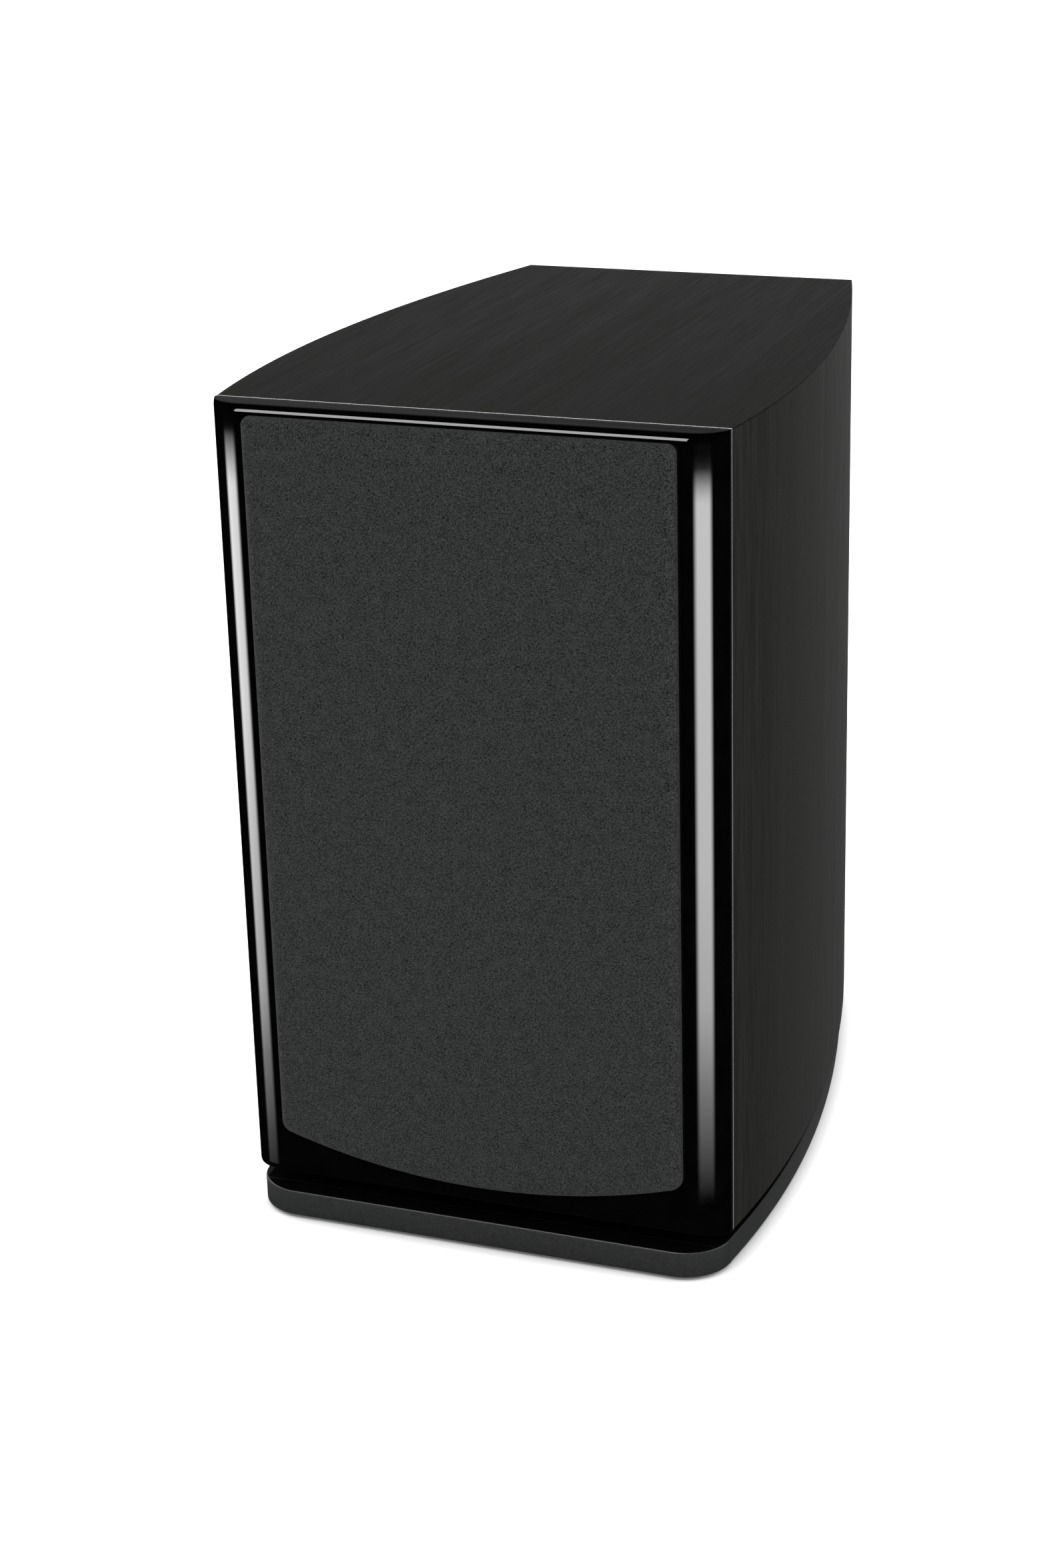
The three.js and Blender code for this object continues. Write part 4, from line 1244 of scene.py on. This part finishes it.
def add_tweeter():
    sinks = [countersink(TWEETER_SCREW_HEAD, 9.0, x, z, -BAFFLE) for x, z in TWEETER_SCREWS]
    plate = driver(faceplate_section(), TWEETER_Z, 128)
    add_piece("tweeter_plate_turned", plate, "faceplate_metal", "tweeter_faceplate", cuts=sinks)
    dome = [(DOME_RADIUS * i / 16, -0.2 + 3.4 * (i / 16) ** 2) for i in range(17)]
    dome = thickened(dome, 0.4)
    add_driver_parts("tweeter", TWEETER_Z, 96, ("dome", dome, "dome_cloth", DOME_BODY))
    inner = DOME_RADIUS + 0.2
    outer = 16.2
    roll = [(12.2, 2.75), (12.5, 3.0)] + roll_curve(inner, outer, 3.2, 1.6) + [(17.3, 3.2)]
    add_flexible(
        "tweeter_surround_roll", driver(thickened(roll, 0.4), TWEETER_Z), "dome_cloth",
        "tweeter_surround", slot="black_rubber",
    )
    coil = coil_section(12.1, DOME_RADIUS, 4.0, 9.4, 5.8, 0.3)
    yoke = [(0.0, 4.8), (11.5, 4.8), (11.5, 19.9), (36.0, 19.9), (36.0, 24.0), (0.0, 24.0)]
    magnet = eased(ring(17.0, 38.0, 7.6, 19.6), 0.8)
    add_driver_parts(
        "tweeter", TWEETER_Z, 96,
        ("voice_coil", coil, "copper_winding", DOME_BODY),
        ("top_plate", eased(ring(13.2, 36.0, 4.3, 7.3)), "plated_steel"),
        ("magnet", magnet, "ferrite"),
        ("yoke", eased(yoke), "plated_steel"),
    )
    add_screws("tweeter_screws", TWEETER_SCREWS, -BAFFLE, TWEETER_SCREW_HEAD, 2.0, 12.0)


# ---- Port, plinth, spacers and feet ----


def add_port():
    mouth = [(PORT_BORE + inset, 1.4 * rise) for inset, rise in rim(PORT_FLARE, 12)]
    outer = PORT_BORE + PORT_WALL
    section = mouth + [(PORT_BORE, PORT_LENGTH), (outer, PORT_LENGTH), (outer, 3.0)]
    section += [(PORT_FLANGE, 3.0), (PORT_FLANGE, 0.0)]
    shape = turned(eased(section), 96, (0.0, PORT_Y), upright=True)
    add_piece("port_tube_flared", shape, "black_plastic", "port_tube")


def plinth_plan(inset):
    corner_y = PLINTH_ROUND - PLINTH_FRONT
    radius = PLINTH_ROUND - inset
    corner_x = half_width(corner_y) - PLINTH_INSET - PLINTH_ROUND
    right = side_line(PLINTH_INSET + inset, corner_y, DEPTH - inset)
    left = [(-x, y) for x, y in reversed(right)]
    front = arc(-corner_x, corner_y, radius, 180, 270, 24)
    front += arc(corner_x, corner_y, radius, 270, 360, 24)
    return front + right[1:] + left[:-1]


def add_plinth():
    plate = slab(plinth_plan, PLINTH_LOW, PLINTH_TOP, 0.8, 0.8, 5)
    add_piece("plinth_plate", plate, "plinth_paint", "plinth", slot="black_lacquer")
    spacer = eased(ring(0.0, SUPPORT_RADIUS, PLINTH_TOP, 0.0), 0.3)
    for name in ("front_left", "front_right", "back_left", "back_right"):
        at = middle(f"foot_{name}")
        shape = turned(spacer, 48, (at.x, at.y), upright=True)
        add_piece(f"spacer_{name}", shape, "dark_spacer", f"plinth_spacer_{name}")
        pad = eased(ring(0.0, SUPPORT_RADIUS, extent(f"foot_{name}")[0].z, PLINTH_LOW), 0.35)
        shape = turned(pad, 48, (at.x, at.y), upright=True)
        add_piece(f"foot_pad_{name}", shape, "black_rubber", f"foot_{name}")


# ---- Rear terminals ----

TERMINAL_SCREWS = [(sx * 33.5, TERMINAL_Z + sz * 23.5) for sx in (-1, 1) for sz in (-1, 1)]
TERMINAL_SCREW_HEAD = 2.6
CLEAR_BORE = 2.9
PLATE_HALF_WIDTH, PLATE_HALF_HEIGHT = 40.0, 30.0
DISH_HALF_WIDTH, DISH_HALF_HEIGHT = 25.0, 16.0
DISH_DEPTH = 0.8
KNOB_RADIUS = 7.8
KNOB_RIBS = 14
BUSH_POCKET_DEPTH = 3.4


def ribbed(radius, depth, ribs, points_per_rib=10):
    """An outline with rounded ribs round it, which flatten out as the inset grows."""
    count = ribs * points_per_rib

    def outline_at(inset):
        wave = max(0.0, depth - 0.4 * inset)
        result = []
        for i in range(count):
            angle = 2 * math.pi * i / count
            r = radius - inset - wave + wave * math.cos(ribs * angle)
            result.append((r * math.cos(angle), r * math.sin(angle)))
        return result

    return outline_at


def terminal_outline(half_x, half_z, radius):
    return rounded_rectangle(-half_x, TERMINAL_Z - half_z, half_x, TERMINAL_Z + half_z, radius)


def add_terminal_plate():
    low, high = extent("terminal_plate")
    outline = terminal_outline(PLATE_HALF_WIDTH, PLATE_HALF_HEIGHT, 6.0)
    plate = facing_front(slab(outline, DEPTH, high.y, 0.0, 0.9))
    neck = turned(eased(ring(0.0, 16.7, low.y, DEPTH + 1)), 64, (0.0, TERMINAL_Z))
    outline = terminal_outline(DISH_HALF_WIDTH, DISH_HALF_HEIGHT, 5.0)
    dish = facing_front(slab(outline, high.y - DISH_DEPTH, high.y + 2))
    section = ring(0.0, CLEAR_BORE, low.y - 2, high.y + 2)
    posts = [(middle(f"terminal_stud_{name}").x, TERMINAL_Z) for name in ("red", "black")]
    bores = [turned(section, 32, post) for post in posts]
    sink = facing_back(countersink(TERMINAL_SCREW_HEAD, 8.0))
    sinks = [moved(sink, x, high.y, z) for x, z in TERMINAL_SCREWS]
    cuts = [dish] + bores + sinks
    item = add_piece("terminal_plate_moulded", plate, "black_plastic", "terminal_plate", cuts=cuts)
    collar = add_piece("terminal_neck", neck, "black_plastic", cuts=bores)
    collar.parent = item


def stud_section(low, high):
    """A threaded stud with a collar against the plate."""
    seat = TERMINAL_BACK + 0.3
    start = TERMINAL_BACK + 3.3
    section = [(0.0, low), (2.6, low), (2.6, seat), (7.2, seat), (7.2, start - 0.4), (6.8, start)]
    for i in range(int(high - start - 0.6)):
        base = start + i
        section += [(2.25, base + 0.05), (2.6, base + 0.4), (2.6, base + 0.6), (2.25, base + 0.95)]
    return section + [(2.2, high - 0.4), (1.8, high), (0.0, high)]


def add_posts():
    for name, finish in (("red", "red_plastic"), ("black", "knob_black")):
        stud, washer, knob = (f"terminal_{part}_{name}" for part in ("stud", "washer", "knob"))
        low, high = extent(stud)
        x = middle(stud).x
        centre = (x, TERMINAL_Z)
        shape = turned(stud_section(low.y, high.y), 48, centre)
        add_piece(f"post_{name}", shape, "gilt_brass", stud)
        low, high = extent(washer)
        shape = turned(eased(ring(CLEAR_BORE, high.x - x, low.y, high.y), 0.3), 48, centre)
        add_piece(f"washer_{name}", shape, "gilt_brass", washer, f"clamp_{name}")
        low, high = extent(knob)
        grip = moved(facing_front(slab(ribbed(KNOB_RADIUS, 0.7, KNOB_RIBS), low.y, high.y, 1.0, 1.4, 6)),
                     x, 0.0, TERMINAL_Z)
        shoulder = high.y - BUSH_POCKET_DEPTH
        bore = [(0.0, low.y - 1), (CLEAR_BORE, low.y - 1), (CLEAR_BORE, shoulder)]
        bore += [(4.6, shoulder), (4.6, high.y + 1), (0.0, high.y + 1)]
        cuts = [turned(bore, 40, centre)]
        add_piece(f"knob_grip_{name}", grip, finish, knob, f"knob_{name}", cuts)
        shape = turned(eased(ring(2.95, 4.55, high.y - 3.3, high.y - 0.3), 0.3), 40, centre)
        add_piece(f"knob_bush_{name}", shape, "gilt_brass", body=f"knob_{name}")


def add_terminals():
    add_terminal_plate()
    add_posts()
    places = TERMINAL_SCREWS
    add_screws("terminal_screws", places, TERMINAL_BACK, TERMINAL_SCREW_HEAD, 2.0, 14.0, back=True)


# ---- Crossover and leads ----

WIRE_RADIUS = 0.56
PAIR_OFFSET = 0.6
TO_WOOFER = [(-40, 244, 70), (-62, 222, 52), (-68, 150, 46), (-62, 80, 48), (-50, 38, 58),
             (-44.5, 18, 69.5)]
TO_TWEETER = [(38, 244, 130), (48, 210, 160), (46, 170, 196), (40, 110, 228), (28, 57, 248),
              (20, 15.5, 252)]


def inductor(node):
    """An air-cored coil: layers of round turns on a thin bobbin."""
    low, high = extent(node)
    outer = (high.x - low.x) / 2
    centre = ((low.x + high.x) / 2, (low.z + high.z) / 2)
    inner = outer * 0.44
    wall = 0.9
    start, end = low.y + wall, high.y - wall
    bobbin = [(inner, low.y), (outer, low.y), (outer, start), (inner + wall, start)]
    bobbin += [(inner + wall, end), (outer, end), (outer, high.y), (inner, high.y)]
    wire = [(inner + wall, start)]
    turns = int(high.y - low.y - 2 * wall)
    step = (high.y - low.y - 2 * wall) / turns
    for i in range(turns):
        for k in range(1, 6):
            bulge = 0.5 * step * math.sin(math.pi * k / 6)
            wire.append((outer - 1.2 + bulge, start + i * step + step * k / 6))
    wire.append((inner + wall, end))
    return turned(wire, 64, centre), turned(bobbin, 64, centre)


def add_capacitor(node, finish):
    """A film capacitor lying along X, with its two wires bent down to the board."""
    low, high = extent(node)
    radius = (high.y - low.y) / 2
    y, z = (low.y + high.y) / 2, (low.z + high.z) / 2
    points, faces = turned(eased(ring(0.0, radius, low.x, high.x), 1.6, 5), 56)
    can = [(along, y + u, z + v) for u, along, v in points]
    add_piece(f"{node}_can", (can, faces), finish, node)
    pad = extent("crossover_board")[0].y + 1.0
    wires = []
    for end, out in ((low.x, -1), (high.x, 1)):
        route = [(end - out * 0.5, y, z), (end + out * 2.0, y, z)]
        route += [(end + out * 3.2, y + 2.0, z), (end + out * 3.4, pad, z)]
        wires.append(tube(route, 0.4, 8, 18))
    add_piece(f"{node}_wires", merged(wires), "plated_steel")


def add_crossover():
    for node in ("inductor_low_pass", "inductor_high_pass"):
        wire, bobbin = inductor(node)
        add_piece(f"{node}_winding", wire, "copper_winding", node)
        add_piece(f"{node}_bobbin", bobbin, "knob_black", slot="black_plastic")
    add_capacitor("capacitor_low_pass", "film_blue")
    add_capacitor("capacitor_high_pass", "film_yellow")
    board = extent("crossover_board")[0]
    brick = rounded_rectangle(-5.0, board.z + 6, 17.0, board.z + 13, 1.0, 4)
    shape = facing_front(slab(brick, board.y - 7.3, board.y - 0.3, 0.5, 0.5))
    add_piece("resistor_block", shape, "white_ceramic", slot="circuit_board")
    dress_cad(["crossover_board"], "circuit_board")


def twisted_wire(route, turns, phase):
    """One wire of a pair twisted round the route."""
    steps = 16 * turns
    wound = []
    path = frames_along(smooth_path(route, steps), Vector((0.0, 0.0, 1.0)))
    for i, (point, side, up) in enumerate(path):
        angle = 2 * math.pi * turns * i / steps + phase
        wound.append(point + (side * math.cos(angle) + up * math.sin(angle)) * PAIR_OFFSET)
    return tube(wound, WIRE_RADIUS, 8, steps)


def add_leads():
    for node, route, turns in (("lead_woofer", TO_WOOFER, 20), ("lead_tweeter", TO_TWEETER, 22)):
        red = twisted_wire(route, turns, 0.0)
        black = twisted_wire(route, turns, math.pi)
        add_piece(f"{node}_red", red, "lead_jacket_red", node, crease=60, slot="lead_jacket")
        add_piece(f"{node}_black", black, "lead_jacket_black", crease=60, slot="black_rubber")


# ---- The whole ----

bpy.context.scene.view_settings.view_transform = "Standard"
add_camera()
add_world()
add_floor()
add_veneer()
dress_carcass()
add_wadding()
add_baffle()
add_grille()
add_woofer()
add_tweeter()
add_port()
add_plinth()
add_terminals()
add_crossover()
add_leads()
add_lights()
